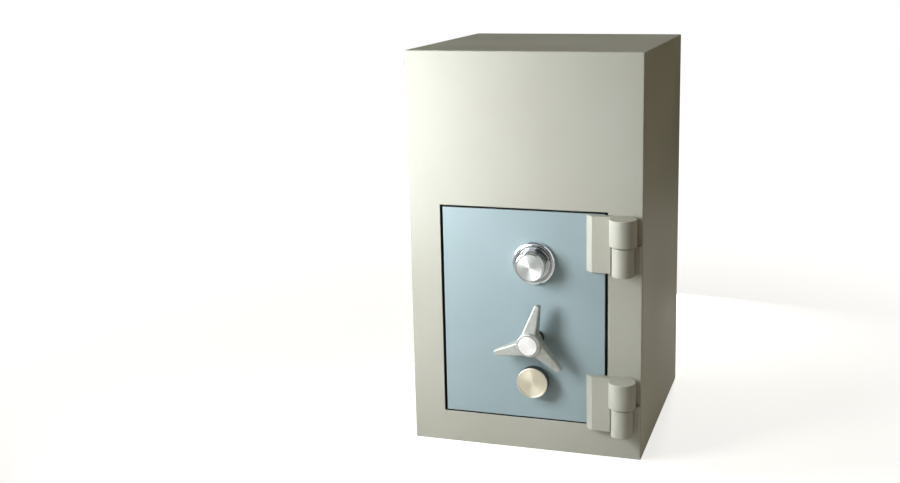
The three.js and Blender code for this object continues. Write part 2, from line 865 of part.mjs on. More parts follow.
// Carrier bar with its rack arm, and the locking bolts that stand on it
function makeBoltwork(group) {
  const heights = boltHeights();
  const bar = block(
    [carrierLeft, carrierLeft + carrierWidth],
    [boltDepth - carrierDepth / 2, boltDepth + carrierDepth / 2],
    [heights[0] - carrierOverrun, heights[boltCount - 1] + carrierOverrun],
  );
  const arm = uprightPlate(rackShape(), [rackFront, rackBack]);
  const spigotHoles = heights.map((height) =>
    rod(
      "x",
      boltSpigotRadius + weldGap,
      [carrierLeft - cutOverrun, carrierLeft + carrierWidth + cutOverrun],
      [boltDepth, height],
      smallSides,
    ),
  );
  place(group, "bolt_carrier", cut(join(bar, arm), ...spigotHoles), materials.steel);

  heights.forEach((height, index) => {
    const bolt = turned(
      [
        [0, 0],
        [boltRadius - boltTipChamfer, 0],
        [boltRadius, boltTipChamfer],
        [boltRadius, boltLength],
        [boltSpigotRadius, boltLength],
        [boltSpigotRadius, boltLength + boltSpigotLength],
        [0, boltLength + boltSpigotLength],
      ],
      roundSides,
    );
    const mesh = place(group, "locking_bolt_" + (index + 1), bolt, materials.turnedSteel);
    mesh.position.set(boltTipX, boltDepth, height);
    mesh.rotation.y = Math.PI / 2;
  });
}

// Fixed pieces on the inside of the door: bolt guide, rack guide, dead bar and cover
function makeDoorInside(group) {
  const heights = boltHeights();
  const boltHoles = (from, to, radius) =>
    heights.map((height) => rod("x", radius, [from, to], [boltDepth, height]));

  const guideEnd = coverEndInset + coverWall + guideEndGap;
  const guideLeft = doorLeft + guideInset;
  const guideRight = guideLeft + guideWidth;
  const guide = block(
    [guideLeft, guideRight],
    [doorBack, doorBack + guideDepth],
    [doorBottom + guideEnd, doorTop - guideEnd],
  );
  const guideHoles = boltHoles(
    guideLeft - cutOverrun,
    guideRight + cutOverrun,
    boltRadius + boltClearance,
  );
  place(group, "bolt_guide", cut(guide, ...guideHoles), materials.steel);

  const pinionLeft = columnShift - pitchRadius - pinionAddendum;
  const rackGuideMiddle = (carrierLeft + carrierWidth + pinionLeft) / 2;
  const rackGuideLeft = rackGuideMiddle - rackGuideWidth / 2;
  const rackGuideSpan = [rackGuideLeft, rackGuideLeft + rackGuideWidth];
  const saddle = block(
    rackGuideSpan,
    [doorBack, rackBack],
    [rackRoot - rackGuideLip, rackTop + rackGuideLip],
  );
  const channel = block(
    [rackGuideLeft - cutOverrun, rackGuideLeft + rackGuideWidth + cutOverrun],
    [rackFront - boltClearance, rackBack + cutOverrun],
    [rackRoot - boltClearance, rackTop + boltClearance],
  );
  place(group, "rack_guide", cut(saddle, channel), materials.steel);

  const deadRight = doorRight - deadBarInset;
  const lipFront = doorThickness + deadBarSetback;
  const deadBack = doorBack + deadBarDepth;
  const deadShape = polygon([
    [deadRight - deadBarWidth, doorBack],
    [deadRight, doorBack],
    [deadRight, lipFront],
    [doorRight + deadBarReach, lipFront],
    [doorRight + deadBarReach, deadBack],
    [deadRight - deadBarWidth, deadBack],
  ]);
  const deadHeights = [doorBottom + deadBarEndInset, doorTop - deadBarEndInset];
  place(group, "dead_bar", levelPlate(deadShape, deadHeights), materials.steel);

  const coverX = [doorLeft + coverLeftInset, doorRight - coverRightInset];
  const coverZ = [doorBottom + coverEndInset, doorTop - coverEndInset];
  const coverBack = doorBack + coverDepth;
  const inset = ([low, high]) => [low + coverWall, high - coverWall];
  const pan = block(coverX, [doorBack, coverBack], coverZ);
  const hollow = block(inset(coverX), [doorBack - cutOverrun, coverBack - coverWall], inset(coverZ));
  const ports = boltHoles(
    coverX[0] - cutOverrun,
    coverX[0] + coverWall + cutOverrun / 2,
    boltRadius + boltClearance * 2,
  );
  place(group, "boltwork_cover", cut(pan, hollow, ...ports), materials.bodyPaint);
}

// Bush that carries the handle's spindle through the door
function makeBush(group) {
  const bore = handleSpindleRadius + turningClearance;
  const bush = turnedRing([
    [bore, -doorThickness],
    [bushRadius, -doorThickness],
    [bushRadius, weldGap],
    [bushFlangeRadius, weldGap],
    [bushFlangeRadius, bushFlange - weldGap],
    [bushFlangeRadius - weldGap, bushFlange],
    [bore, bushFlange],
  ]);
  place(group, "handle_bush", bush, materials.turnedSteel);
}

function makePullKnob(group) {
  const neckEnd = weldGap + pullNeckLength;
  const knob = turned([
    [0, weldGap],
    [pullNeckRadius, weldGap],
    [pullNeckRadius, neckEnd - pullChamfer],
    [pullRadius - pullChamfer, neckEnd],
    [pullRadius, neckEnd + pullChamfer],
    [pullRadius, pullLength - pullChamfer / 2],
    [pullRadius - pullChamfer / 2, pullLength],
    [pullFaceRadius, pullLength],
    [pullFaceRadius - pullFaceDepth, pullLength - pullFaceDepth],
    [0, pullLength - pullFaceDepth],
  ]);
  place(group, "door_pull_knob", knob, materials.brassTint);
}

// Where a crank pin stands, as depth and height, once the drawer is out by a share
function crankPinPlace(share) {
  const angle = Math.PI + flapTurn * (1 / 2 - share);
  return [
    flapDepth - drawerTravel * share + crankRadius * Math.cos(angle),
    flapHeight + crankRadius * Math.sin(angle),
  ];
}

// Outline of the cam slot: the crank pin's path, widened to either side with round ends
function camSlotShape() {
  const halfSlot = crankPinRadius + camSlotClearance;
  const small = 1 / camSlotSteps / camSlotSteps;
  const beside = (share, side) => {
    const [depth, height] = crankPinPlace(share);
    const [nextDepth, nextHeight] = crankPinPlace(share + small);
    const heading = Math.atan2(nextHeight - height, nextDepth - depth) + (side * Math.PI) / 2;
    return [depth + halfSlot * Math.cos(heading), height + halfSlot * Math.sin(heading)];
  };
  const around = (share, turnShare) => {
    const [depth, height] = crankPinPlace(share);
    const [nextDepth, nextHeight] = crankPinPlace(share + small);
    const along = Math.atan2(nextHeight - height, nextDepth - depth);
    const heading = along + turnShare * Math.PI;
    return [depth + halfSlot * Math.cos(heading), height + halfSlot * Math.sin(heading)];
  };
  const shares = Array.from({ length: camSlotSteps + 1 }, (unused, i) => i / camSlotSteps);
  const turns = Array.from({ length: arcSteps - 1 }, (unused, i) => (i + 1) / arcSteps);
  const points = [
    ...shares.map((share) => beside(share, -1)),
    ...turns.map((turn) => around(1, turn - 1 / 2)),
    ...shares.map((share) => beside(1 - share, 1)),
    ...turns.map((turn) => around(0, turn + 1 / 2)),
  ];
  return polygon(points);
}

// Fixed sleeve round the drawer, in the frame of the back face
function makeSleeve(group) {
  const sides = { left: -1, right: 1 };
  const sleeveBack = sleeveFront + sleeveLength;
  Object.entries(sides).forEach(([name, side]) => {
    const outline = rectangle([sleeveFront, sleeveBack], [-sleeveBottom, sleeveTop]);
    const shape = withHoles(outline, camSlotShape());
    const inner = side * sleeveInner;
    const outer = side * (sleeveInner + sleeveThickness);
    const plate = sidePlate(shape, [Math.min(inner, outer), Math.max(inner, outer)]);
    place(group, "sleeve_side_" + name, plate, materials.sheetSteel);

    const railInner = side * (trayWidth / 2 + weldGap * 2 + runnerWall);
    const railOuter = side * (sleeveInner - weldGap);
    const railTop = -(runnerTop + runnerWall + weldGap);
    const railBottom = -(runnerTop + runnerHeight - runnerWall - weldGap);
    const rail = block(
      [Math.min(railInner, railOuter), Math.max(railInner, railOuter)],
      [sleeveFront, sleeveFront + railLength],
      [railBottom, railTop],
    );
    place(group, "drawer_rail_" + name, rail, materials.steel);
  });
  const roof = block(
    [-sleeveInner + weldGap, sleeveInner - weldGap],
    [sleeveFront, sleeveBack],
    [sleeveRoof, sleeveRoof + sleeveRoofThickness],
  );
  place(group, "sleeve_roof", roof, materials.sheetSteel);
}

// Drawer face, tray and runners
function makeDrawer(group) {
  const halfFace = drawerOpeningWidth / 2 - drawerGap;
  const halfHeight = drawerOpeningHeight / 2 - drawerGap;
  const cornerRadius = drawerCornerRadius / 2;
  const outline = roundedRectangle([-halfFace, halfFace], [-halfHeight, halfHeight], cornerRadius);
  const keyHole = circle(keyBodyRadius + weldGap, [0, -keyDrop]);
  const faceShape = withHoles(outline, keyHole);
  const face = uprightPlate(faceShape, [0, drawerFaceThickness], edgeChamfer);
  place(group, "drawer_face", face, materials.doorPaint);

  const trayEnd = drawerBack + trayLength;
  const earEnd = trayEnd + earLength;
  const outside = polygon([
    [drawerBack, -trayFloorOuter],
    [trayEnd, -trayFloorInner],
    [trayEnd, earTop],
    [earEnd, earTop + earLength / 2],
    [earEnd, trayTop],
    [drawerBack, trayTop],
  ]);
  const inside = polygon([
    [drawerBack + trayWall, trayWall - trayFloorOuter],
    [trayEnd, trayWall - trayFloorInner],
    [earEnd + cutOverrun, trayWall - trayFloorInner],
    [earEnd + cutOverrun, trayTop + cutOverrun],
    [drawerBack + trayWall, trayTop + cutOverrun],
  ]);
  const halfTray = trayWidth / 2;
  const shell = sidePlate(outside, [-halfTray, halfTray]);
  const hollow = sidePlate(inside, [trayWall - halfTray, halfTray - trayWall]);
  const nutHole = rod(
    "y",
    nutRadius + weldGap * 2,
    [drawerBack - cutOverrun, drawerBack + trayWall + cutOverrun],
    [0, -keyDrop],
  );
  const shaftHole = rod(
    "x",
    flapShaftRadius + turningClearance,
    [-trayWidth, trayWidth],
    [flapDepth, flapHeight],
    smallSides,
  );
  place(group, "drawer_tray", cut(shell, hollow, nutHole, shaftHole), materials.sheetSteel);

  const sides = { left: -1, right: 1 };
  Object.entries(sides).forEach(([name, side]) => {
    const webInner = trayWidth / 2 + weldGap;
    const flangeEnd = sleeveInner - weldGap * 5;
    const top = -runnerTop;
    const bottom = -(runnerTop + runnerHeight);
    const span = (a, b) => [Math.min(side * a, side * b), Math.max(side * a, side * b)];
    const along = [drawerBack, drawerBack + runnerLength];
    const channel = block(span(webInner, flangeEnd), along, [bottom, top]);
    const groove = block(
      span(webInner + runnerWall, flangeEnd + cutOverrun),
      [drawerBack - cutOverrun, drawerBack + runnerLength + cutOverrun],
      [bottom + runnerWall, top - runnerWall],
    );
    place(group, "drawer_runner_" + name, cut(channel, groove), materials.steel);
  });
}

// Anti-fishing flap with its shaft and cranks. The group stands on the shaft's axis, and
// the pieces are drawn as they hang when the drawer is out.
function makeFlap(group) {
  const halfFlap = trayWidth / 2 - trayWall - flapClearance;
  const sheet = block(
    [-halfFlap, halfFlap],
    [-flapThickness / 2, flapThickness / 2],
    [-flapLength, 0],
  );
  const curl = rod("x", flapCurlRadius, [-halfFlap, halfFlap], [0, 0], smallSides);
  const bore = rod(
    "x",
    flapShaftRadius + weldGap,
    [-halfFlap - cutOverrun, halfFlap + cutOverrun],
    [0, 0],
    smallSides,
  );
  place(group, "flap_plate", cut(join(sheet, curl), bore), materials.sheetSteel);

  const crankOuter = crankInner + crankThickness;
  const shaft = rod("x", flapShaftRadius, [-crankOuter, crankOuter], [0, 0], smallSides);
  place(group, "flap_shaft", shaft, materials.steel);

  const pinAngle = Math.PI - flapTurn / 2;
  const endRadius = crankPinRadius + crankPinWall;
  const outline = new THREE.Shape();
  outline.absarc(0, 0, crankHubRadius, Math.PI / 2, Math.PI * 1.5);
  outline.absarc(crankRadius, 0, endRadius, -Math.PI / 2, Math.PI / 2);
  outline.closePath();
  const crankShape = withHoles(outline, circle(flapShaftRadius + weldGap));
  const pinEnd = sleeveInner + sleeveThickness + crankPinOverrun;
  const sides = { left: -1, right: 1 };
  Object.entries(sides).forEach(([name, side]) => {
    const span = (a, b) => [Math.min(side * a, side * b), Math.max(side * a, side * b)];
    const web = sidePlate(crankShape, span(crankInner, crankOuter));
    const pinSpan = span(crankInner, pinEnd);
    const pin = rod("x", crankPinRadius, pinSpan, [crankRadius, 0], smallSides);
    const crank = join(web, pin).rotateX(pinAngle);
    place(group, "flap_crank_" + name, crank, materials.steel);
  });
}

// Slim pull bar on one post: a turned bar that thins and dips towards its middle
function makePullBar(group) {
  const half = barLength / 2;
  const shareAt = (along) => (along / half) ** 2;
  const stations = Array.from(
    { length: barStations + 1 },
    (unused, index) => -half + (barLength * index) / barStations,
  );
  const radiusAt = (along) =>
    barWaistRadius + (barEndRadius - barWaistRadius) * Math.sqrt(shareAt(along));
  const profile = [
    [0, -half - barWaistRadius],
    [barWaistRadius, -half - barWaistRadius],
    ...stations.map((along) => [radiusAt(along), along]),
    [barWaistRadius, half + barWaistRadius],
    [0, half + barWaistRadius],
  ];
  const bar = turned(profile, smallSides).rotateY(Math.PI / 2);
  const position = bar.attributes.position;
  for (let index = 0; index < position.count; index += 1) {
    const share = Math.min(shareAt(position.getX(index)), 1);
    position.setZ(index, position.getZ(index) - barDip * (1 - share));
  }
  bar.translate(0, -barStandoff, barRise);
  const postHeight = barRise - barDip;
  const post = rod("y", barPostRadius, [-barStandoff, -weldGap], [0, postHeight], smallSides);
  const foot = rod(
    "y",
    barFootRadius,
    [-weldGap - barFootLength, -weldGap],
    [0, postHeight],
    smallSides,
  );
  place(group, "drawer_pull", join(bar, post, foot), materials.chrome);
}

// Key lock of the drawer; the group's +Z points out of the drawer's face
function makeKeyLock(group) {
  const bore = keyPlugRadius + turningClearance;
  const rimRadius = keyCollarRadius - keyCollarHeight / 2;
  const barrel = turnedRing(
    [
      [bore, -keyBodyLength],
      [keyBodyRadius, -keyBodyLength],
      [keyBodyRadius, weldGap],
      [keyCollarRadius, weldGap],
      [keyCollarRadius, keyCollarHeight / 2],
      [rimRadius, keyCollarHeight],
      [rimRadius - keyRecessInset, keyCollarHeight],
      [bore, keyCollarHeight - keyRecessDepth],
    ],
    roundSides,
  );
  place(group, "drawer_lock_barrel", barrel, materials.chrome);

  const hexagon = circle(nutRadius, [0, 0], nutSides);
  const nutShape = withHoles(hexagon, circle(keyBodyRadius + weldGap));
  const nut = levelPlate(nutShape, [-keyBodyLength, -drawerBack]);
  place(group, "drawer_lock_nut", nut, materials.steel);
}

function makeKeyPlug(group) {
  const front = keyCollarHeight - keyPlugInset;
  const plugBack = -keyBodyLength;
  const neckEnd = plugBack - keyNeckLength;
  const slotFloor = front - keySlotDepth;
  const plug = turned(
    [
      [0, neckEnd],
      [keyNeckRadius, neckEnd],
      [keyNeckRadius, plugBack],
      [keyPlugRadius, plugBack],
      [keyPlugRadius, front],
      [keySlotOuter, front],
      [keySlotOuter, slotFloor],
      [keyPostRadius, slotFloor],
      [keyPostRadius, front],
      [0, front],
    ],
    roundSides,
  );
  place(group, "drawer_lock_plug", plug, materials.darkSteel);

  const half = tongueWidth / 2;
  const outline = new THREE.Shape();
  outline.absarc(0, 0, half, Math.PI / 2, Math.PI * 1.5);
  outline.lineTo(tongueLength, -half);
  outline.lineTo(tongueLength, half);
  outline.closePath();
  const shape = withHoles(outline, circle(keyNeckRadius + weldGap));
  const tongueFront = plugBack - tongueGap;
  const tongue = levelPlate(shape, [tongueFront - tongueThickness, tongueFront]);
  place(group, "drawer_lock_tongue", tongue, materials.steel);
}

// The front and the back are worked in frames whose Y runs into the safe from their own face
const front = makeGroup(safe, [0, frontY, 0]);
const rear = makeGroup(safe, [0, rearY, drawerHeight], [0, 0, Math.PI]);
const outward = [Math.PI / 2, 0, 0];

makeBody(safe);
makeStops(front);
Object.entries(hingeBottoms).forEach(([name, bottom]) => {
  const hinge = makeGroup(front, [hingeX, -hingeStandoff, bottom]);
  makeBodyHinge(hinge, name);
  makeDoorHinge(hinge, name);
});

makeDoorPlate(front);
makeDoorInside(front);
makeLock(front);
makeBoltwork(front);
const dial = makeGroup(front, [columnShift, 0, dialHeight], outward);
makeDialRing(dial);
makeDial(dial);
const handle = makeGroup(front, [columnShift, 0, handleHeight], outward);
makeBush(handle);
makeHandle(handle);
makePullKnob(makeGroup(front, [columnShift, 0, pullHeight], outward));

makeSleeve(rear);
makeDrawer(rear);
makePullBar(rear);
makeFlap(makeGroup(rear, [0, flapDepth, flapHeight], [flapTurn, 0, 0]));
const keyLock = makeGroup(rear, [0, 0, -keyDrop], outward);
makeKeyLock(keyLock);
makeKeyPlug(keyLock);

export default safe;
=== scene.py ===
import json
import math

import bmesh
import bpy
from mathutils import Matrix, Vector


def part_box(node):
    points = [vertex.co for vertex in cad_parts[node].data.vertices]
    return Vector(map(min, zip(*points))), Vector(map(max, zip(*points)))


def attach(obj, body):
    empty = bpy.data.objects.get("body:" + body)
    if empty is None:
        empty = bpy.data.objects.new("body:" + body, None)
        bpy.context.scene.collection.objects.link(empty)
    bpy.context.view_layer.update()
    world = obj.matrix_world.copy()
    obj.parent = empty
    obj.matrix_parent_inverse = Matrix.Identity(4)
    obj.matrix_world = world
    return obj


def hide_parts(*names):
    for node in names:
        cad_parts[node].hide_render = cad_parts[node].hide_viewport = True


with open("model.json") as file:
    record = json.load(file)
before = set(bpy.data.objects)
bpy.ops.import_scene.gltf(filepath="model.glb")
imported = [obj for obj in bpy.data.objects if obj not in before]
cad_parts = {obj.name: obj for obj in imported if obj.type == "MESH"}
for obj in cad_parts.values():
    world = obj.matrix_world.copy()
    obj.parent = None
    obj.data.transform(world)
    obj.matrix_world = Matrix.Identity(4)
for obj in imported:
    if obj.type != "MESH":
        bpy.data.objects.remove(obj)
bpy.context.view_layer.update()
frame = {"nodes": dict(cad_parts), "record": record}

mm = 0.001
over = 10 * mm  # how far a cut runs past the face that it starts from
nearly = 1e-5  # two places closer than this, in metres, count as one
seat = 0.3  # millimetres between a fixed piece and what carries it
outOfDoor = Vector((0, -1, 0))
outOfDrawer = Vector((0, 1, 0))
print("frame loaded")


# Small steps that every piece uses

def deselectAll():
    bpy.ops.object.select_all(action="DESELECT")


def activate(obj):
    deselectAll()
    obj.select_set(True)
    bpy.context.view_layer.objects.active = obj


def takeNew(name):
    obj = bpy.context.active_object
    obj.name = name
    obj.data.name = name
    bpy.ops.object.transform_apply(location=True, rotation=True, scale=True)
    return obj


def addBox(name, low, high):
    deselectAll()
    low, high = Vector(low), Vector(high)
    bpy.ops.mesh.primitive_cube_add(size=1, location=(low + high) / 2, scale=high - low)
    return takeNew(name)


def addRod(name, radius, start, end, sides=64):
    deselectAll()
    start, end = Vector(start), Vector(end)
    turn = (end - start).to_track_quat("Z", "Y").to_euler()
    bpy.ops.mesh.primitive_cylinder_add(
        vertices=sides, radius=radius, depth=(end - start).length, location=(start + end) / 2, rotation=turn
    )
    return takeNew(name)


def openEdit(obj, mode):
    activate(obj)
    bpy.ops.object.mode_set(mode="EDIT")
    bpy.ops.mesh.select_mode(type=mode)
    bpy.ops.mesh.select_all(action="DESELECT")


def closeEdit():
    bpy.ops.object.mode_set(mode="OBJECT")


def pickFaces(test):
    mesh = bmesh.from_edit_mesh(bpy.context.edit_object.data)
    for face in mesh.faces:
        face.select_set(test(face.calc_center_median(), face.normal))
    bmesh.update_edit_mesh(bpy.context.edit_object.data)


def pickEdges(test):
    mesh = bmesh.from_edit_mesh(bpy.context.edit_object.data)
    for edge in mesh.edges:
        edge.select_set(test(edge.verts[0].co, edge.verts[1].co))
    bmesh.update_edit_mesh(bpy.context.edit_object.data)


def bevelEdges(obj, test, offset, segments):
    openEdit(obj, "EDGE")
    pickEdges(test)
    bpy.ops.mesh.bevel(offset=offset, segments=segments, affect="EDGES")
    closeEdit()


def applyModifier(obj, kind, **values):
    activate(obj)
    modifier = obj.modifiers.new(kind.lower(), kind)
    for key, value in values.items():
        setattr(modifier, key, value)
    bpy.ops.object.modifier_apply(modifier=modifier.name)


def roundAll(obj, width, segments=3, sharperThan=30):
    limit = math.radians(sharperThan)
    applyModifier(obj, "BEVEL", width=width, segments=segments, limit_method="ANGLE", angle_limit=limit)


def combine(obj, operation, tools):
    for tool in tools:
        applyModifier(obj, "BOOLEAN", operation=operation, solver="EXACT", object=tool)
        bpy.data.objects.remove(tool)
    return obj


def cutOut(obj, *tools):
    return combine(obj, "DIFFERENCE", tools)


def weldOn(obj, *tools):
    return combine(obj, "UNION", tools)


def joinLoose(name, objs):
    deselectAll()
    for obj in objs:
        obj.select_set(True)
    bpy.context.view_layer.objects.active = objs[0]
    bpy.ops.object.join()
    objs[0].name = name
    return objs[0]


def cleanNormals(obj):
    openEdit(obj, "VERT")
    bpy.ops.mesh.select_all(action="SELECT")
    bpy.ops.mesh.remove_doubles(threshold=1e-6)
    bpy.ops.mesh.normals_make_consistent(inside=False)
    closeEdit()


def smoothShade(obj, angle=32, weighted=True):
    activate(obj)
    bpy.ops.object.shade_smooth_by_angle(angle=math.radians(angle))
    if weighted:
        applyModifier(obj, "WEIGHTED_NORMAL", keep_sharp=True)


# A turned piece: its profile, as radius and distance out in mm, is extruded point by point and spun
def turnPiece(name, spot, outward, profile, steps=96):
    deselectAll()
    side = Vector((1, 0, 0)) if abs(outward.x) < 0.5 else Vector((0, 0, 1))
    points = [spot + side * radius * mm + outward * out * mm for radius, out in profile]
    bpy.ops.mesh.primitive_plane_add(size=mm, location=points[0])
    obj = takeNew(name)
    openEdit(obj, "VERT")
    bpy.ops.mesh.select_all(action="SELECT")
    bpy.ops.mesh.merge(type="CENTER")
    for here, there in zip(points, points[1:]):
        bpy.ops.mesh.extrude_vertices_move(TRANSFORM_OT_translate={"value": there - here})
    bpy.ops.mesh.select_all(action="SELECT")
    bpy.ops.mesh.spin(steps=steps, angle=math.tau, center=spot, axis=outward)
    closeEdit()
    cleanNormals(obj)
    return obj


# Profile points stepped off from an edge: each inwards from its radius and back from its front
def stepsFrom(radius, front, steps):
    return [(radius - inward, front - back) for inward, back in steps]


def setMaterials(obj, *materials):
    obj.data.materials.clear()
    for material in materials:
        obj.data.materials.append(material)


def mount(obj, body, slot, *nodes):
    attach(obj, body)
    if nodes:
        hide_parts(*nodes)


# Shades a piece, gives it its materials, chosen for each face by its centre and normal, and mounts it
def dress(obj, materials, body, slot, *nodes, choose=None, **shading):
    smoothShade(obj, **shading)
    setMaterials(obj, *materials)
    if choose:
        for polygon in obj.data.polygons:
            polygon.material_index = int(choose(polygon.center, polygon.normal))
    mount(obj, body, slot, *nodes)


# Shader building

def addNode(tree, kind, inputs=None, **settings):
    node = tree.nodes.new("ShaderNode" + kind)
    for key, value in settings.items():
        setattr(node, key, value)
    for key, value in (inputs or {}).items():
        if isinstance(value, bpy.types.NodeSocket):
            tree.links.new(value, node.inputs[key])
        else:
            node.inputs[key].default_value = value
    return node


def maths(tree, operation, a, b=0.0, clamp=False):
    return addNode(tree, "Math", {0: a, 1: b}, operation=operation, use_clamp=clamp).outputs[0]


def spread(tree, value, fromLow, fromHigh, toLow=0.0, toHigh=1.0):
    names = {"Value": value, "From Min": fromLow, "From Max": fromHigh, "To Min": toLow, "To Max": toHigh}
    return addNode(tree, "MapRange", names).outputs[0]


def blendColour(tree, share, a, b):
    return addNode(tree, "Mix", {0: share, 6: a, 7: b}, data_type="RGBA").outputs[2]


def linear(red, green, blue):
    parts = [c / 255 for c in (red, green, blue)]
    return tuple(c / 12.92 if c <= 0.04045 else ((c + 0.055) / 1.055) ** 2.4 for c in parts) + (1.0,)


def noise(tree, place, scale, detail):
    return addNode(tree, "TexNoise", {"Vector": place, "Scale": scale, "Detail": detail}).outputs["Fac"]


# A group opens with its inputs and their usual values, and closes with what it gives out
def openGroup(name, **inputs):
    tree = bpy.data.node_groups.new(name, "ShaderNodeTree")
    for label, value in inputs.items():
        kind = "NodeSocketVector" if isinstance(value, tuple) else "NodeSocketFloat"
        tree.interface.new_socket(name=label, in_out="INPUT", socket_type=kind).default_value = value
    return tree, tree.nodes.new("NodeGroupInput").outputs, addNode(tree, "TexCoord").outputs["Object"]


def closeGroup(tree, **outputs):
    for label in outputs:
        tree.interface.new_socket(name=label, in_out="OUTPUT", socket_type="NodeSocketFloat")
    end = tree.nodes.new("NodeGroupOutput")
    for label, value in outputs.items():
        tree.links.new(value, end.inputs[label])
    return tree


# The skins' patterns: their scales per metre, and the spans over which a value goes from none to all
skinLook = {
    "wearAndSheenSpan": (0.995, 0.88), "breakSpan": (0.35, 0.65, 0.25, 1.0), "finePeel": 1400.0, "fineShare": 0.35,
    "dust": 260.0, "dustSpan": (0.62, 0.75), "broadRings": 0.16, "patches": 22.0, "mottle": 130.0,
    "spangles": 70.0, "toneSpan": (0.3, 0.7), "paintSpan": (0.35, 0.65),
}


# How far a point is from lying flat: rounded edges, broken up by noise. This mask lightens edges as wear and,
# on paint, as a painted highlight
def makeEdgeWear():
    tree, given, place = openGroup("edgeWearAndSheen", Width=0.002, Breakup=120.0)
    soft = addNode(tree, "Bevel", {"Radius": given["Width"]}, samples=4).outputs[0]
    hard = addNode(tree, "NewGeometry").outputs["Normal"]
    facing = addNode(tree, "VectorMath", {0: soft, 1: hard}, operation="DOT_PRODUCT").outputs["Value"]
    edge = spread(tree, facing, *skinLook["wearAndSheenSpan"])
    broken = spread(tree, noise(tree, place, given["Breakup"], 3.0), *skinLook["breakSpan"])
    return closeGroup(tree, Mask=maths(tree, "MULTIPLY", edge, broken, clamp=True))


# Sprayed enamel: orange peel, cloudy tone and a little dust
def makeSprayedCoat():
    tree, given, place = openGroup("sprayedCoat", Peel=520.0, Cloud=4.0)
    peel = noise(tree, place, given["Peel"], 2.0)
    fine = addNode(tree, "TexVoronoi", {"Vector": place, "Scale": skinLook["finePeel"]}, feature="SMOOTH_F1")
    fineShare = maths(tree, "MULTIPLY", fine.outputs["Distance"], skinLook["fineShare"])
    height = maths(tree, "ADD", peel, fineShare)
    cloud = noise(tree, place, given["Cloud"], 4.0)
    dust = spread(tree, noise(tree, place, skinLook["dust"], 5.0), *skinLook["dustSpan"])
    return closeGroup(tree, Tone=cloud, Dust=dust, Height=height)


# Lathe rings round an axis along Y through the centre
def makeLatheRings():
    tree, given, place = openGroup("latheRings", Centre=(0, 0, 0), Rings=2500.0)
    offset = addNode(tree, "VectorMath", {0: place, 1: given["Centre"]}, operation="SUBTRACT")
    flat = addNode(tree, "VectorMath", {0: offset.outputs[0], 1: (1, 0, 1)}, operation="MULTIPLY")
    radius = addNode(tree, "VectorMath", {0: flat.outputs[0]}, operation="LENGTH").outputs["Value"]
    along = maths(tree, "MULTIPLY", radius, given["Rings"])
    fine = addNode(tree, "TexNoise", {"W": along, "Scale": 1.0, "Detail": 3.0}, noise_dimensions="1D")
    wide = {"W": along, "Scale": skinLook["broadRings"], "Detail": 1.0}
    broad = addNode(tree, "TexNoise", wide, noise_dimensions="1D")
    return closeGroup(tree, Tone=broad.outputs["Fac"], Height=fine.outputs["Fac"])


# Long fine scratches, drawn out by a stretch along each axis
def makeDrawnGrain():
    tree, given, place = openGroup("drawnGrain", Stretch=(20, 900, 900), Strength=1.0)
    pulled = addNode(tree, "VectorMath", {0: place, 1: given["Stretch"]}, operation="MULTIPLY")
    grain = noise(tree, pulled.outputs[0], 1.0, 4.0)
    patch = noise(tree, place, skinLook["patches"], 3.0)
    return closeGroup(tree, Tone=patch, Height=maths(tree, "MULTIPLY", grain, given["Strength"]))


# Sand-cast skin: small pits over a soft mottle
def makeCastSkin():
    tree, given, place = openGroup("castSkin", Grain=900.0)
    pits = addNode(tree, "TexVoronoi", {"Vector": place, "Scale": given["Grain"]}, feature="SMOOTH_F1")
    mottle = noise(tree, place, skinLook["mottle"], 5.0)
    return closeGroup(tree, Tone=mottle, Height=maths(tree, "ADD", pits.outputs["Distance"], mottle))


groups = {
    "edgeWearAndSheen": makeEdgeWear(),
    "sprayedCoat": makeSprayedCoat(),
    "latheRings": makeLatheRings(),
    "drawnGrain": makeDrawnGrain(),
    "castSkin": makeCastSkin(),
}


def useGroup(tree, name, **values):
    node = tree.nodes.new("ShaderNodeGroup")
    node.node_tree = groups[name]
    for key, value in values.items():
        node.inputs[key].default_value = value
    return node


# Each finish: its lighter and darker tone, its smoothest and roughest spot, and what its kind needs
finishes = {
    # The lighter edge colour of the paints and the casting is wear, and on the paints also a painted
    # highlight along the rounded edges
    "bodyPaint": {"tones": [(190, 191, 179), (184, 184, 171)], "rough": (0.4, 0.52), "wornAndSheen": (222, 222, 214)},
    "doorPaint": {"tones": [(164, 184, 190), (157, 177, 182)], "rough": (0.38, 0.5), "wornAndSheen": (208, 221, 225)},
    "handleCasting": {
        "tones": [(198, 201, 195), (172, 176, 170)], "rough": (0.4, 0.52), "wornAndSheen": (236, 240, 238),
    },
    "chromePlate": {
        "tones": [(240, 242, 243), (216, 220, 222)], "rough": (0.05, 0.13), "grain": (300, 300, 300),
    },
    "zincSheet": {
        "tones": [(186, 190, 190), (156, 161, 162)], "rough": (0.38, 0.55), "grain": (500, 30, 500),
    },
    "machinedSteel": {
        "tones": [(176, 178, 180), (140, 143, 146)], "rough": (0.28, 0.44), "grain": (40, 500, 900),
    },
    "boltSteel": {"tones": [(206, 207, 206), (178, 180, 180)], "rough": (0.14, 0.3), "grain": (900, 60, 60)},
    # The knob's darker side is painted shade, standing in for the chrome side's reflection of the door in
    # shadow
    "knobSidePaintedShade": {"tones": [(112, 110, 104), (84, 82, 77)], "rough": (0.14, 0.3), "grain": (600, 60, 600)},
    "lockBrass": {"tones": [(204, 172, 98), (168, 136, 72)], "rough": (0.24, 0.4), "grain": (300, 300, 40)},
    "darkSteel": {"tones": [(64, 62, 58), (38, 37, 36)], "rough": (0.29, 0.45), "grain": (600, 60, 600)},
    "dialFace": {"tones": [(232, 236, 235), (210, 214, 213)], "rough": (0.45, 0.56), "drawn": 0.66},
    "capFace": {"tones": [(252, 252, 251), (242, 241, 240)], "rough": (0.53, 0.64), "drawn": 0.2},
    "pullFace": {"tones": [(241, 236, 217), (221, 213, 191)], "rough": (0.43, 0.54), "drawn": 0.5},
    "dialInk": {"tones": [(34, 34, 36), (18, 18, 20)]},
}
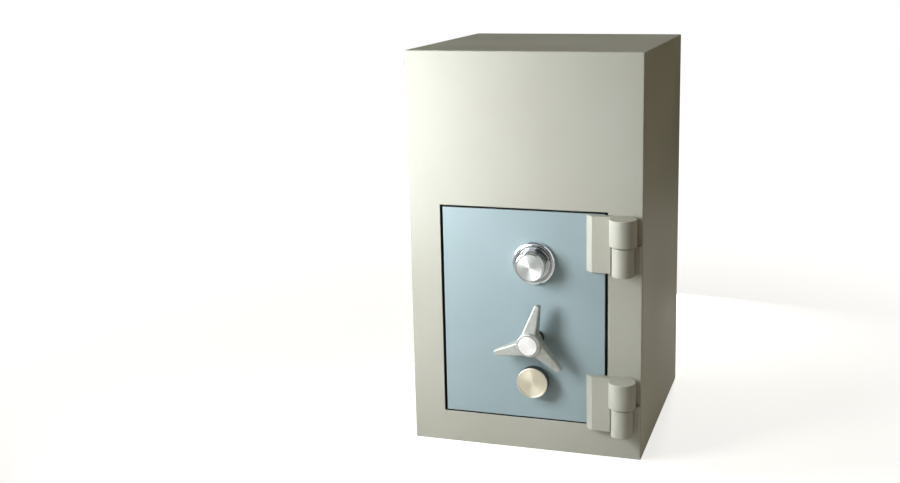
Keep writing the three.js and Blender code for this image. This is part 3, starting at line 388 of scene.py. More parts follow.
# How wide the lighter edges are, in mm, how fine their breaks are and how much of the lighter colour shows:
# wear, and on paint also a painted highlight
wearAndSheenLook = {"paint": (1.6, 90.0, 0.55), "machined": (0.8, 160.0, 0.5), "casting": (2.2, 70.0, 0.6)}
dustLook = {"colour": (225, 224, 218), "share": 0.06}
bareMetal = (228, 229, 230)
# How strongly each skin shows as a bump, and how deep that is in mm
bumpLook = {
    "paint": (0.10, 0.2), "drawn": (0.15, 0.1), "plated": (0.02, 0.1), "turned": (0.12, 0.08),
    "casting": (0.16, 0.3), "zinc": (0.2, 0.1),
}


def newMaterial(name, **constants):
    material = bpy.data.materials.new(name)
    material.use_nodes = True
    tree = material.node_tree
    shader = tree.nodes["Principled BSDF"]
    for key, value in constants.items():
        shader.inputs[key.replace("_", " ")].default_value = value
    return material, tree, shader


def tint(tree, tone, name):
    light, dark = finishes[name]["tones"]
    return blendColour(tree, tone, linear(*dark), linear(*light))


# Lightens the edges with the given colour: wear, and on paint a painted highlight as well
def rubEdges(tree, base, kind, wornAndSheen):
    width, breakup, share = wearAndSheenLook[kind]
    wearAndSheenMask = useGroup(tree, "edgeWearAndSheen", Width=width * mm, Breakup=breakup)
    edge = maths(tree, "MULTIPLY", wearAndSheenMask.outputs["Mask"], share)
    return blendColour(tree, edge, base, linear(*wornAndSheen))


# Colour, roughness that follows the skin's tone, and the skin's bump
def finishShader(tree, shader, name, colour, skin, kind):
    tree.links.new(colour, shader.inputs["Base Color"])
    rough = spread(tree, skin.outputs["Tone"], *skinLook["toneSpan"], *finishes[name]["rough"])
    tree.links.new(rough, shader.inputs["Roughness"])
    strength, depth = bumpLook[kind]
    bump = {"Height": skin.outputs["Height"], "Strength": strength, "Distance": depth * mm}
    tree.links.new(addNode(tree, "Bump", bump).outputs["Normal"], shader.inputs["Normal"])


def makePaint(name):
    material, tree, shader = newMaterial(name, IOR=1.5)
    coat = useGroup(tree, "sprayedCoat", Peel=430.0, Cloud=3.5)
    base = tint(tree, spread(tree, coat.outputs["Tone"], *skinLook["paintSpan"]), name)
    wornAndSheen = rubEdges(tree, base, "paint", finishes[name]["wornAndSheen"])
    dust = maths(tree, "MULTIPLY", coat.outputs["Dust"], dustLook["share"])
    dusted = blendColour(tree, dust, wornAndSheen, linear(*dustLook["colour"]))
    finishShader(tree, shader, name, dusted, coat, "paint")
    return material


# Metal with a drawn grain, rubbed bare on its edges unless it is plated
def makeDrawn(name, kind="drawn", strength=1.0):
    material, tree, shader = newMaterial(name, Metallic=1.0)
    grain = useGroup(tree, "drawnGrain", Stretch=finishes[name]["grain"], Strength=strength)
    base = tint(tree, grain.outputs["Tone"], name)
    colour = base if kind == "plated" else rubEdges(tree, base, "machined", bareMetal)
    finishShader(tree, shader, name, colour, grain, kind)
    return material


# Turned metal seen end on: its rings draw the highlight out into wedges
def makeTurned(name, centre):
    drawn = {"Anisotropic": finishes[name]["drawn"], "Anisotropic_Rotation": 0.25}
    material, tree, shader = newMaterial(name, Metallic=1.0, **drawn)
    rings = useGroup(tree, "latheRings", Centre=centre, Rings=2600.0)
    finishShader(tree, shader, name, tint(tree, rings.outputs["Tone"], name), rings, "turned")
    tangent = addNode(tree, "Tangent", direction_type="RADIAL", axis="Y")
    tree.links.new(tangent.outputs[0], shader.inputs["Tangent"])
    return material


def makeCasting(name):
    material, tree, shader = newMaterial(name, Metallic=0.55)
    skin = useGroup(tree, "castSkin", Grain=700.0)
    base = tint(tree, spread(tree, skin.outputs["Tone"], *skinLook["toneSpan"]), name)
    wornAndSheen = rubEdges(tree, base, "casting", finishes[name]["wornAndSheen"])
    finishShader(tree, shader, name, wornAndSheen, skin, "casting")
    return material


# Zinc plated sheet: broad spangle patches, light in their middles, over a fine rolling grain
def makeZinc(name):
    material, tree, shader = newMaterial(name, Metallic=0.35)
    place = addNode(tree, "TexCoord").outputs["Object"]
    spangle = addNode(tree, "TexVoronoi", {"Vector": place, "Scale": skinLook["spangles"]})
    grain = useGroup(tree, "drawnGrain", Stretch=finishes[name]["grain"], Strength=1.0)
    middle, rim = finishes[name]["tones"]
    base = blendColour(tree, spangle.outputs["Distance"], linear(*middle), linear(*rim))
    finishShader(tree, shader, name, base, grain, "zinc")
    return material


def makeInk(name):
    material, tree, shader = newMaterial(name, Roughness=0.6)
    skin = useGroup(tree, "castSkin", Grain=1500.0)
    tree.links.new(tint(tree, skin.outputs["Tone"], name), shader.inputs["Base Color"])
    return material


# The middle of a turned piece, seen from the front or back, at the given depth
def middleOf(node, depth):
    low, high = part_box(node)
    return Vector(((low.x + high.x) / 2, depth, (low.z + high.z) / 2))


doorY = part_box("door_plate")[0].y
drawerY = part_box("drawer_face")[1].y
dialSpot = middleOf("dial_ring", doorY)
handleSpot = middleOf("handle_cap", doorY)
pullSpot = middleOf("door_pull_knob", doorY)
keySpot = middleOf("drawer_lock_barrel", drawerY)

bodyPaint = makePaint("bodyPaint")
doorPaint = makePaint("doorPaint")
chrome = makeDrawn("chromePlate", "plated", strength=0.6)
dialFace = makeTurned("dialFace", dialSpot)
capFace = makeTurned("capFace", handleSpot)
pullFace = makeTurned("pullFace", pullSpot)
knobSidePaintedShade = makeDrawn("knobSidePaintedShade")
casting = makeCasting("handleCasting")
machinedSteel = makeDrawn("machinedSteel")
boltSteel = makeDrawn("boltSteel")
brass = makeDrawn("lockBrass")
darkSteel = makeDrawn("darkSteel")
zinc = makeZinc("zincSheet")
ink = makeInk("dialInk")

slotMaterials = {
    "body_paint": bodyPaint,
    "door_paint": doorPaint,
    "chrome": chrome,
    "turned_steel": boltSteel,
    "pull_knob_metal": pullFace,
    "handle_casting": casting,
    "boltwork_steel": machinedSteel,
    "sheet_steel": zinc,
    "lock_brass": brass,
    "dark_steel": darkSteel,
}
for subpart in frame["record"]["subparts"]:
    node = frame["nodes"][subpart["node"]]
    blackened = any(word in subpart["node"] for word in ("washer", "drawer_rail", "drawer_runner"))
    setMaterials(node, darkSteel if blackened else slotMaterials[subpart["material_slot"]])
print("materials made")


# Body: one ground and painted shell with the doorway and the drawer opening
bodyLook = {
    "edgeRound": 2.4, "openingRound": 1.3, "sideGap": 6.0, "topGap": 4.0, "bottomGap": 3.0,
    "doorwayDepth": 40.0, "paintedLip": 3.0, "drawerGap": 4.0, "drawerCorner": 4.0, "anchorRadius": 8.0,
    "anchorPlace": 192.0,
}


def makeShell():
    look = bodyLook
    low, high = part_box("front_plate")[0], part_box("back_plate")[1]
    shell = addBox("safe_body", low, high)
    roundAll(shell, look["edgeRound"] * mm, 4)
    wall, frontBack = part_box("left_wall")[1].x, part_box("front_plate")[1].y
    insideLow = (wall, frontBack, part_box("bottom_plate")[1].z)
    insideHigh = (-wall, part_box("back_plate")[0].y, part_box("top_plate")[0].z)
    cutOut(shell, addBox("inside", insideLow, insideHigh))
    doorLow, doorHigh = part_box("door_plate")
    side = look["sideGap"] * mm
    wayLow = (doorLow.x - side, low.y - over, doorLow.z - look["bottomGap"] * mm)
    wayHigh = (doorHigh.x + side, low.y + look["doorwayDepth"] * mm, doorHigh.z + look["topGap"] * mm)
    cutOut(shell, addBox("doorway", wayLow, wayHigh))
    gap = look["drawerGap"] * mm
    faceLow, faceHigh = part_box("drawer_face")
    slotLow = Vector((faceLow.x - gap, faceLow.y - over, faceLow.z - gap))
    slotHigh = Vector((faceHigh.x + gap, faceHigh.y + over, faceHigh.z + gap))
    drawerway = addBox("drawerway", slotLow, slotHigh)
    bevelEdges(drawerway, lambda a, b: abs(a.y - b.y) > over, look["drawerCorner"] * mm, 4)
    cutOut(shell, drawerway)

    def onRim(faceY, start, end, reach):
        def test(*ends):
            flat = all(abs(p.y - faceY) < nearly for p in ends)
            inX = all(start.x - reach < p.x < end.x + reach for p in ends)
            return flat and inX and all(start.z - reach < p.z < end.z + reach for p in ends)
        return test

    for test in (onRim(low.y, doorLow, doorHigh, over), onRim(high.y, slotLow, slotHigh, mm)):
        bevelEdges(shell, test, look["openingRound"] * mm, 3)
    for sideX in (-1, 1):
        for sideY in (-1, 1):
            spot = Vector((sideX * look["anchorPlace"] * mm, sideY * look["anchorPlace"] * mm, 0))
            rise = Vector((0, 0, 3 * over))
            cutOut(shell, addRod("anchor", look["anchorRadius"] * mm, spot - rise, spot + rise, 32))

    # The doorway's inner walls take the dark steel as painted shade, so the gap round the door reads black
    def inDoorway(spot, normal):
        deep = low.y + look["paintedLip"] * mm < spot.y < frontBack + mm
        near = abs(spot.x) < doorHigh.x + over and spot.z < doorHigh.z + over
        return deep and near and abs(normal.y) < 0.1

    plates = ["front_plate", "back_plate", "left_wall", "right_wall", "top_plate", "bottom_plate"]
    dress(shell, [bodyPaint, darkSteel], "body", "body_paint", *plates, choose=inDoorway)


makeShell()
print("body made")


# Door slab with softly rounded edges; its side faces take the dark steel as painted shade, blackening the gap
# round the door
doorLook = {"edgeRound": 1.4, "spindleHole": 4.4, "bushHole": 14.4}


def makeDoorSlab():
    low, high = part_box("door_plate")
    slab = addBox("door_slab", low, high)
    roundAll(slab, doorLook["edgeRound"] * mm)
    through = Vector((0, 5 * over, 0))
    for key, spot in (("spindleHole", dialSpot), ("bushHole", handleSpot)):
        cutOut(slab, addRod(key, doorLook[key] * mm, spot - through, spot + through))
    shadedSides = lambda spot, normal: abs(normal.y) < 0.05
    dress(slab, [doorPaint, darkSteel], "door", "door_paint", "door_plate", choose=shadedSides)


makeDoorSlab()


# Barrel hinges: a bevelled strap with the upper knuckle on the door, a leaf with the lower one on the body
hingeLook = {
    "strapBevel": 13.8, "strapThickness": 17.0, "slot": 5.0, "edgeRound": 1.3, "rimRound": 1.8, "lip": 3.0,
    "leafThickness": 15.0, "boreRadius": 8.3, "step": 0.2,
}


def makeHinge(name):
    look = hingeLook
    strapLow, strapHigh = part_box(name + "_hinge_strap")
    bodyLow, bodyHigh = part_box(name + "_body_knuckle")
    pinLow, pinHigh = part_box(name + "_hinge_pin")
    washerLow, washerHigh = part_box(name + "_hinge_washer")
    radius = strapHigh.x - (pinLow.x + pinHigh.x) / 2
    lift = Vector((0, 0, 1))
    axis = Vector((strapHigh.x - radius, strapLow.y + radius, 0))
    lowerRadius = axis.x - bodyLow.x
    splitTop = bodyHigh.z + 2 * (washerLow.z - bodyHigh.z) + (washerHigh.z - washerLow.z)
    step = look["step"] * mm  # the knuckles stand a little proud of the strap and the leaf
    back = doorY - seat * mm
    strapFront = doorY - look["strapThickness"] * mm
    slotX = axis.x - lowerRadius - look["slot"] * mm

    def barrel(size, bottom, top):
        rod = addRod("barrel", size, axis + lift * bottom, axis + lift * top, 96)
        if size > lowerRadius:
            bevelEdges(rod, lambda a, b: max(a.z, b.z) < bottom + mm, look["lip"] * mm, 3)
        roundAll(rod, look["rimRound"] * mm, 4)
        return rod

    def finishLeaf(leaf, leafName, body, node):
        start, end = axis + lift * (pinLow.z - mm), axis + lift * (pinHigh.z + mm)
        cutOut(leaf, addRod("bore", look["boreRadius"] * mm, start, end))
        leaf.name = leafName
        dress(leaf, [bodyPaint], body, "body_paint", node)

    strap = addBox("strap", (strapLow.x, strapFront, strapLow.z), (axis.x, back, strapHigh.z - step))
    outer = lambda a, b: all(p.x < strapLow.x + mm and p.y < strapFront + mm for p in (a, b))
    bevelEdges(strap, outer, look["strapBevel"] * mm, 1)
    notchLow = (slotX, strapFront - over, strapLow.z - over)
    cutOut(strap, addBox("notch", notchLow, (axis.x + over, back + over, splitTop + step)))
    roundAll(strap, look["edgeRound"] * mm)
    weldOn(strap, barrel(radius, splitTop, strapHigh.z))
    finishLeaf(strap, name + "_hinge_leaf", "door", name + "_hinge_strap")

    leafFront = doorY - look["leafThickness"] * mm
    knuckle = barrel(lowerRadius, bodyLow.z, bodyHigh.z)
    leaf = addBox("leaf", (axis.x, leafFront, bodyLow.z + step), (bodyHigh.x, back, bodyHigh.z - step))
    roundAll(leaf, look["edgeRound"] * mm)
    weldOn(knuckle, leaf)
    finishLeaf(knuckle, name + "_body_leaf", "body", name + "_body_knuckle")


for hingeName in ("upper", "lower"):
    makeHinge(hingeName)
print("door slab and hinges made")


# Combination dial: stepped chrome rim, graduated disc and grip knob with a turned face
dialLook = {
    "bore": 4.3, "sides": 128,
    "rimRadius": 47.0, "rimBore": 39.3, "rimHeight": 10.3, "rimFloor": 2.8,
    "rimSteps": [(0, 4.6), (0.7, 3.0), (2.0, 1.3), (4.0, 0.2), (5.0, 0)],
    "rimBoreSteps": [(-1.6, 0.3), (0, 1.8)],
    "indexBase": 1.1, "indexTip": 0.8, "indexHeight": 0.2, "indexAbove": 2.3,
    "discRadius": 38.0, "discBevel": 3.0, "discFront": 8.6, "discBack": 3.6,
    "ticks": 100, "tickLength": 1.3, "longTick": 2.0, "tickWidth": 0.24, "tickHeight": 0.06,
    "tickInset": 0.35, "tickBevel": 0.02, "numberSize": 2.5, "numberHeight": 0.03, "numberInset": 2.35,
    "markLift": 0.05, "indexLift": 0.02, "rimRound": 0.35, "discRound": 0.25, "knobRound": 0.3,
    "knobRadius": 31.75, "knobBack": 8.9, "knobFront": 43.0, "socketEnd": 22.9, "skirt": (11.5, 12.9),
    "grooves": (19.9, 29.7), "groove": 1.4, "grooveSlope": 0.7, "knobSteps": [(0, 2.6), (0.7, 1.1), (2.0, 0)],
    "faceRadius": 27.5, "faceSink": 0.8,
}


def makeDialRim():
    look = dialLook
    radius, bore, height = look["rimRadius"], look["rimBore"], look["rimHeight"]
    outside = [(look["bore"], seat), (radius, seat), *stepsFrom(radius, height, look["rimSteps"])]
    inside = [*stepsFrom(bore, height, look["rimBoreSteps"]), (bore, look["rimFloor"])]
    profile = [*outside, *inside, (look["bore"], look["rimFloor"]), (look["bore"], seat)]
    rim = turnPiece("dial_rim", dialSpot, outOfDoor, profile, look["sides"])
    roundAll(rim, look["rimRound"] * mm, 3, 35)
    dress(rim, [chrome], "door", "chrome", "dial_ring")
    above = Vector((0, 0, (bore + look["indexAbove"]) * mm))
    spot = dialSpot + outOfDoor * (height + look["indexLift"]) * mm + above
    deselectAll()
    bpy.ops.mesh.primitive_cone_add(
        vertices=3, radius1=look["indexBase"] * mm, radius2=look["indexTip"] * mm,
        depth=look["indexHeight"] * mm, location=spot, rotation=(math.pi / 2, 0, math.pi),
    )
    index = takeNew("dial_index")
    setMaterials(index, ink)
    mount(index, "door", "dark_steel")


def makeDialDisc():
    look = dialLook
    radius, bore, back, front = look["discRadius"], look["bore"], look["discBack"], look["discFront"]
    bevel = [(radius, front - look["discBevel"]), (radius - look["discBevel"], front)]
    profile = [(bore, back), (radius, back), *bevel, (bore, front), (bore, back)]
    disc = turnPiece("dial_plate", dialSpot, outOfDoor, profile, look["sides"])
    roundAll(disc, look["discRound"] * mm, 2)
    dress(disc, [chrome], "dial", "chrome", "dial_disc")


# Place on the disc's bevel at a share of a turn, clockwise from the top
def bevelPlace(share, inFromRim):
    angle = share * math.tau
    radial = Vector((math.sin(angle), 0, math.cos(angle)))
    right = Vector((math.cos(angle), 0, -math.sin(angle)))
    up = (radial - outOfDoor).normalized()
    normal = right.cross(up)
    radius = (dialLook["discRadius"] - inFromRim) * mm
    out = (dialLook["discFront"] - dialLook["discBevel"] + inFromRim + dialLook["markLift"]) * mm
    spot = dialSpot + radial * radius + outOfDoor * out
    turn = Matrix((right, up, normal)).transposed().to_4x4()
    return Matrix.Translation(spot) @ turn


def makeDialMarks():
    look = dialLook
    slopeShare = 0.7
    marks = []
    for index in range(look["ticks"]):
        length = look["longTick"] if index % 10 == 5 else look["tickLength"]
        width = look["tickWidth"] * mm
        tickHigh = (width / 2, length / 2 * mm, look["tickHeight"] * mm)
        tick = addBox("tick", (-width / 2, -length / 2 * mm, 0), tickHigh)
        bevelEdges(tick, lambda a, b: a.z > 0 and b.z > 0, look["tickBevel"] * mm, 1)
        tick.data.transform(bevelPlace(index / look["ticks"], look["tickInset"] + length / 2 * slopeShare))
        marks.append(tick)
    for number in range(0, look["ticks"], 10):
        deselectAll()
        bpy.ops.object.text_add(location=(0, 0, 0))
        digits = bpy.context.active_object
        text = digits.data
        text.body = str(number)
        text.size = look["numberSize"] * mm
        text.align_x = text.align_y = "CENTER"
        text.extrude = look["numberHeight"] * mm
        text.resolution_u = 3
        bpy.ops.object.convert(target="MESH")
        digits.data.transform(bevelPlace(number / look["ticks"], look["numberInset"]))
        marks.append(digits)
    marked = joinLoose("dial_graduations", marks)
    setMaterials(marked, ink)
    mount(marked, "dial", "dark_steel")


def makeDialKnob():
    look = dialLook
    radius, face, bore = look["knobRadius"], look["faceRadius"], look["bore"]
    back, front = look["knobBack"], look["knobFront"]
    groove, slope = look["groove"], look["grooveSlope"]
    socket = [(0, look["socketEnd"]), (bore, look["socketEnd"]), (bore, back), (face, back)]
    skirt = [(face, look["skirt"][0]), (radius, look["skirt"][1])]
    grooveSteps = [(0, 0), (groove, -slope), (groove, -slope - groove), (0, -2 * slope - groove)]
    grooves = [point for start in look["grooves"] for point in stepsFrom(radius, start, grooveSteps)]
    top = stepsFrom(radius, front, look["knobSteps"])
    sink = look["faceSink"]
    middle = [(face, front), (face - sink, front - sink), (0, front - sink)]
    profile = [*socket, *skirt, *grooves, *top, *middle]
    knob = turnPiece("dial_grip", dialSpot, outOfDoor, profile, look["sides"])
    roundAll(knob, look["knobRound"] * mm, 3, 20)

    def onFace(spot, normal):
        return (dialSpot.y - spot.y) / mm > front - 1 and (spot - dialSpot).xz.length / mm < face

    dress(knob, [chrome, dialFace], "dial", "turned_steel", "dial_knob", choose=onFace)


makeDialRim()
makeDialDisc()
makeDialMarks()
makeDialKnob()
print("dial made")


# Three-spoke handle: tapered spokes and a turned hub, melted into one casting, with a cap and a collar
handleLook = {
    "spokes": 3, "firstSpoke": 79, "reach": 86.0, "back": 31.0, "rootX": 10.0, "rootWidth": 40.0,
    "rootFront": 55.5, "tipWidth": 13.0, "tipFront": 43.0, "tipRound": 4.2, "swirl": 4.4, "topShare": 0.80,
    "edgeRound": 2.2,
    "hubFoot": [(0, 6), (18, 6), (20, 12), (22, 22)], "hubRadius": 26.0, "hubFront": 58.0, "hubBevel": 2.2,
    "voxel": 0.8, "socketRadius": 9.8, "socketDepth": 46,
    "capRadius": 20.0, "capBack": 1.7, "capFront": 60.5, "capBevel": 0.9, "capGap": (0.8, 0.3),
    "sleeveRadius": 14, "sleeveDepth": 25.4, "collarRadius": 20, "collarHeight": 5.0, "collarBevel": 1.0,
    "capRound": 0.4, "collarRound": 0.3,
}


def makeSpoke(angle):
    look = handleLook
    low = Vector((look["rootX"], -look["rootFront"], -look["rootWidth"] / 2)) * mm
    high = Vector((look["reach"], -look["back"], look["rootWidth"] / 2)) * mm
    spoke = addBox("spoke", low, high)
    openEdit(spoke, "FACE")
    pickFaces(lambda centre, normal: normal.x > 0.9)
    tip = Vector((high.x, high.y, 0))
    share = look["tipWidth"] / look["rootWidth"]
    rise = (look["tipFront"] - look["back"]) / (look["rootFront"] - look["back"])
    bpy.ops.transform.resize(value=(1, rise, share), center_override=tip)
    pickFaces(lambda centre, normal: normal.y < -0.5)
    bpy.ops.transform.resize(value=(1, 1, look["topShare"]), center_override=(0, 0, 0))
    pickFaces(lambda centre, normal: normal.x < -0.9)
    bpy.ops.transform.translate(value=(0, 0, look["swirl"] * mm))
    closeEdit()
    tipCorner = lambda a, b: min(a.x, b.x) > high.x - mm and abs(a.y - b.y) > 5 * mm
    bevelEdges(spoke, tipCorner, look["tipRound"] * mm, 5)
    roundAll(spoke, look["edgeRound"] * mm)
    spoke.data.transform(Matrix.Rotation(-math.radians(angle), 4, "Y"))
    spoke.data.transform(Matrix.Translation(handleSpot))
    return spoke


def makeHandle():
    look = handleLook
    radius, front, bevel, cap = look["hubRadius"], look["hubFront"], look["hubBevel"], look["capRadius"]
    wide, narrow = look["capGap"]
    rim = [(radius, look["back"]), (radius, front - bevel), (radius - bevel, front)]
    recess = [(cap + wide, front), (cap + narrow, front - bevel), (0, front - bevel)]
    hub = turnPiece("hub", handleSpot, outOfDoor, [*look["hubFoot"], *rim, *recess])
    spokes = [makeSpoke(look["firstSpoke"] + index * 360 / look["spokes"]) for index in range(look["spokes"])]
    handle = joinLoose("handle_casting", [hub, *spokes])
    applyModifier(handle, "REMESH", mode="VOXEL", voxel_size=look["voxel"] * mm)
    applyModifier(handle, "SMOOTH", factor=0.5, iterations=5)
    socketEnd = handleSpot + outOfDoor * look["socketDepth"] * mm
    cutOut(handle, addRod("socket", look["socketRadius"] * mm, handleSpot, socketEnd))
    dress(handle, [casting], "handle", "handle_casting", "handle_spokes", angle=50, weighted=False)


def makeHandleCap():
    look = handleLook
    radius, front, bevel = look["capRadius"], look["capFront"], look["capBevel"]
    back = look["hubFront"] - look["capBack"]
    profile = [(0, back), (radius, back), (radius, front - bevel), (radius - bevel, front), (0, front)]
    cap = turnPiece("handle_button", handleSpot, outOfDoor, profile)
    roundAll(cap, look["capRound"] * mm)
    dress(cap, [capFace], "handle", "turned_steel", "handle_cap")


def makeHandleCollar():
    look = handleLook
    bore, sleeve, radius = look["socketRadius"], look["sleeveRadius"], look["collarRadius"]
    depth, height, bevel = look["sleeveDepth"], look["collarHeight"], look["collarBevel"]
    inDoor = [(bore, -depth), (sleeve, -depth), (sleeve, seat)]
    flange = [(radius, seat), (radius, height - bevel), (radius - bevel, height)]
    profile = [*inDoor, *flange, (bore, height), (bore, -depth)]
    collar = turnPiece("handle_collar", handleSpot, outOfDoor, profile)
    roundAll(collar, look["collarRound"] * mm)
    dress(collar, [darkSteel], "door", "turned_steel", "handle_bush")


makeHandle()
makeHandleCap()
makeHandleCollar()
print("handle made")


# Pull knob: chrome rim, a side darkened as a painted reflection of the shaded door, warm turned face
pullLook = {
    "neck": 13.0, "neckTop": 6.6, "footFlare": 2.5, "footHeight": 2.4, "radius": 33.5, "rimBack": 9.5,
    "backSlope": 2.5, "front": 29.0, "frontSteps": [(0, 1.6), (0.5, 0.6), (1.5, 0)], "faceRadius": 30.5,
    "faceSink": 0.7, "sides": 128, "edgeRound": 0.5, "faceBand": 1.0, "rimBand": 2.0,
}


def makePullKnob():
    look = pullLook
    radius, neck, front, face = look["radius"], look["neck"], look["front"], look["faceRadius"]
    slope, sink = look["backSlope"], look["faceSink"]
    foot = [(0, seat), (neck + look["footFlare"], seat), (neck, look["footHeight"]), (neck, look["neckTop"])]
    head = [(radius - slope, look["rimBack"] - slope), (radius, look["rimBack"])]
    rim = stepsFrom(radius, front, look["frontSteps"])
    profile = [*foot, *head, *rim, (face, front), (face - sink, front - sink), (0, front - sink)]
    knob = turnPiece("pull_knob", pullSpot, outOfDoor, profile, look["sides"])
    roundAll(knob, look["edgeRound"] * mm, 3, 25)

    # Faces on the knob's side take the darker material, a painted reflection of the shaded door
    def byDepth(spot, normal):
        out = (pullSpot.y - spot.y) / mm
        return 1 if out > front - look["faceBand"] else 2 if out < front - look["rimBand"] else 0

    dress(knob, [chrome, pullFace, knobSidePaintedShade], "door", "pull_knob_metal", "door_pull_knob", choose=byDepth)


makePullKnob()
print("pull knob made")


# Drawer front
drawerLook = {"edgeRound": 1.3, "cornerRound": 2.0, "keyHole": 11.3}


def makeDrawerFront():
    low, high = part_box("drawer_face")
    front = addBox("drawer_front", low, high)
    bevelEdges(front, lambda a, b: abs(a.y - b.y) > mm, drawerLook["cornerRound"] * mm, 4)
    roundAll(front, drawerLook["edgeRound"] * mm, 3, 40)
    through = Vector((0, 3 * over, 0))
    cutOut(front, addRod("keyHole", drawerLook["keyHole"] * mm, keySpot - through, keySpot + through))
    dress(front, [doorPaint], "drawer", "door_paint", "drawer_face")


makeDrawerFront()


# Pull bar: one ring of points, drawn out station by station, thin and low in the middle and thick at the ends
barLook = {
    "end": 4.2, "waist": 2.0, "dip": 2.0, "standoff": 25.0, "stations": 24, "tipShare": 0.55,
    "edgeRound": 0.6, "post": 4.5, "foot": 5.8, "footEdge": 2.2, "footHeight": 3.2,
}


def makePullBar():
    look = barLook
    low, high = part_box("drawer_pull")
    half = (high.x - low.x) / 2 - look["waist"] * mm
    postZ = high.z - look["end"] * mm - look["dip"] * mm
    barY = drawerY + look["standoff"] * mm
    radiusAt = lambda share: (look["waist"] + (look["end"] - look["waist"]) * abs(share)) * mm
    liftAt = lambda share: postZ + look["dip"] * mm * share * share
    count = look["stations"]
    shares = [-1 + 2 * index / count for index in range(count + 1)]
    rings = [(share * half, liftAt(share), radiusAt(share)) for share in shares]
    tip = look["waist"] * mm
    rings.insert(0, (-half - tip, liftAt(1), radiusAt(1) * look["tipShare"]))
    rings.append((half + tip, liftAt(1), radiusAt(1) * look["tipShare"]))
    deselectAll()
    x, z, radius = rings[0]
    bpy.ops.mesh.primitive_circle_add(
        vertices=32, radius=radius, fill_type="NGON", location=(x, barY, z), rotation=(0, math.pi / 2, 0)
    )
    bar = takeNew("drawer_pull_bar")
    openEdit(bar, "FACE")
    bpy.ops.mesh.select_all(action="SELECT")
    for (x0, z0, r0), (x1, z1, r1) in zip(rings, rings[1:]):
        bpy.ops.mesh.extrude_region_move(TRANSFORM_OT_translate={"value": (x1 - x0, 0, z1 - z0)})
        bpy.ops.transform.resize(value=(1, r1 / r0, r1 / r0), center_override=(x1, barY, z1))
    closeEdit()
    cleanNormals(bar)
    roundAll(bar, look["edgeRound"] * mm, 3, 28)
    post = addRod("post", look["post"] * mm, (0, drawerY + seat * mm, postZ), (0, barY, postZ), 48)
    side = [(0, seat), (look["foot"], seat), (look["foot"], look["footEdge"])]
    profile = [*side, (look["post"] + 0.2, look["footHeight"]), (0, look["footHeight"])]
    foot = turnPiece("foot", Vector((0, drawerY, postZ)), outOfDrawer, profile, 48)
    weldOn(bar, post, foot)
    dress(bar, [chrome], "drawer", "chrome", "drawer_pull", angle=40)


makePullBar()


# Key lock: chrome collar with a dark recess, and a dark plug with a round keyway and brass pins
lockLook = {
    "collar": 15.0, "collarHeight": 4.0, "collarSteps": [(0, 2.2), (0.6, 1.1), (2.0, 0)], "rimWidth": 3.5,
    "recess": 2.2, "body": 11.0, "bodyLength": 17.4, "plug": 7.9, "plugGap": 0.3, "plugSink": 1.0,
    "plugBevel": 0.4, "tailRadius": 3.8, "tailEnd": 23.4, "slotOuter": 5.6, "slotInner": 2.6,
    "slotDepth": 7.0, "coreBevel": 0.5, "collarRound": 0.3, "pins": 7, "pinCircle": 4.1, "pinSink": 0.5,
    "pinProfile": [(0, 0), (0.75, 0), (0.75, 2.2), (0.45, 2.6), (0, 2.6)],
}


def makeLockCollar():
    look = lockLook
    bore, body, height = look["plug"] + look["plugGap"], look["body"], look["collarHeight"]
    length, rim = look["bodyLength"], look["collar"] - look["rimWidth"]
    barrel = [(bore, -length), (body, -length), (body, seat), (look["collar"], seat)]
    edge = stepsFrom(look["collar"], height, look["collarSteps"])
    profile = [*barrel, *edge, (rim, height), (bore, height - look["recess"]), (bore, -length)]
    collar = turnPiece("drawer_lock_collar", keySpot, outOfDrawer, profile)
    roundAll(collar, look["collarRound"] * mm, 3, 35)

    def inRecess(spot, normal):
        return (spot - keySpot).xz.length / mm < rim - 0.2 and spot.y > keySpot.y

    dress(collar, [chrome, darkSteel], "drawer", "chrome", "drawer_lock_barrel", choose=inRecess)


def makeKeyPlug():
    look = lockLook
    front = look["collarHeight"] - look["plugSink"]
    floor = front - look["slotDepth"]
    radius, tail, outer, inner = look["plug"], look["tailRadius"], look["slotOuter"], look["slotInner"]
    length, bevel, core = look["bodyLength"], look["plugBevel"], look["coreBevel"]
    back = [(0, -look["tailEnd"]), (tail, -look["tailEnd"]), (tail, -length), (radius, -length)]
    edge = [(radius, front - bevel), (radius - bevel, front)]
    keyway = [(outer, front), (outer, floor), (inner, floor), (inner, front - core), (inner - core, front)]
    plug = turnPiece("drawer_key_plug", keySpot, outOfDrawer, [*back, *edge, *keyway, (0, front)], 64)
    notchLow = keySpot + Vector((-0.9, front - 4, outer - 0.4)) * mm
    notchHigh = keySpot + Vector((0.9, front + 1, outer + 1.1)) * mm
    cutOut(plug, addBox("notch", notchLow, notchHigh))
    pins = []
    circle, depth = look["pinCircle"], floor - look["pinSink"]
    for index in range(look["pins"]):
        angle = (index + 0.5) * math.tau / look["pins"]
        spot = keySpot + Vector((math.cos(angle) * circle, depth, math.sin(angle) * circle)) * mm
        pins.append(turnPiece("pin", spot, outOfDrawer, look["pinProfile"], 12))
    plug = joinLoose("drawer_key_plug", [plug, *pins])

    def onCore(spot, normal):
        return (spot - keySpot).xz.length / mm < inner + 0.1 and spot.y > keySpot.y

    dress(plug, [darkSteel, brass], "key_plug", "dark_steel", "drawer_lock_plug", choose=onCore)


makeLockCollar()
makeKeyPlug()
print("drawer front made")


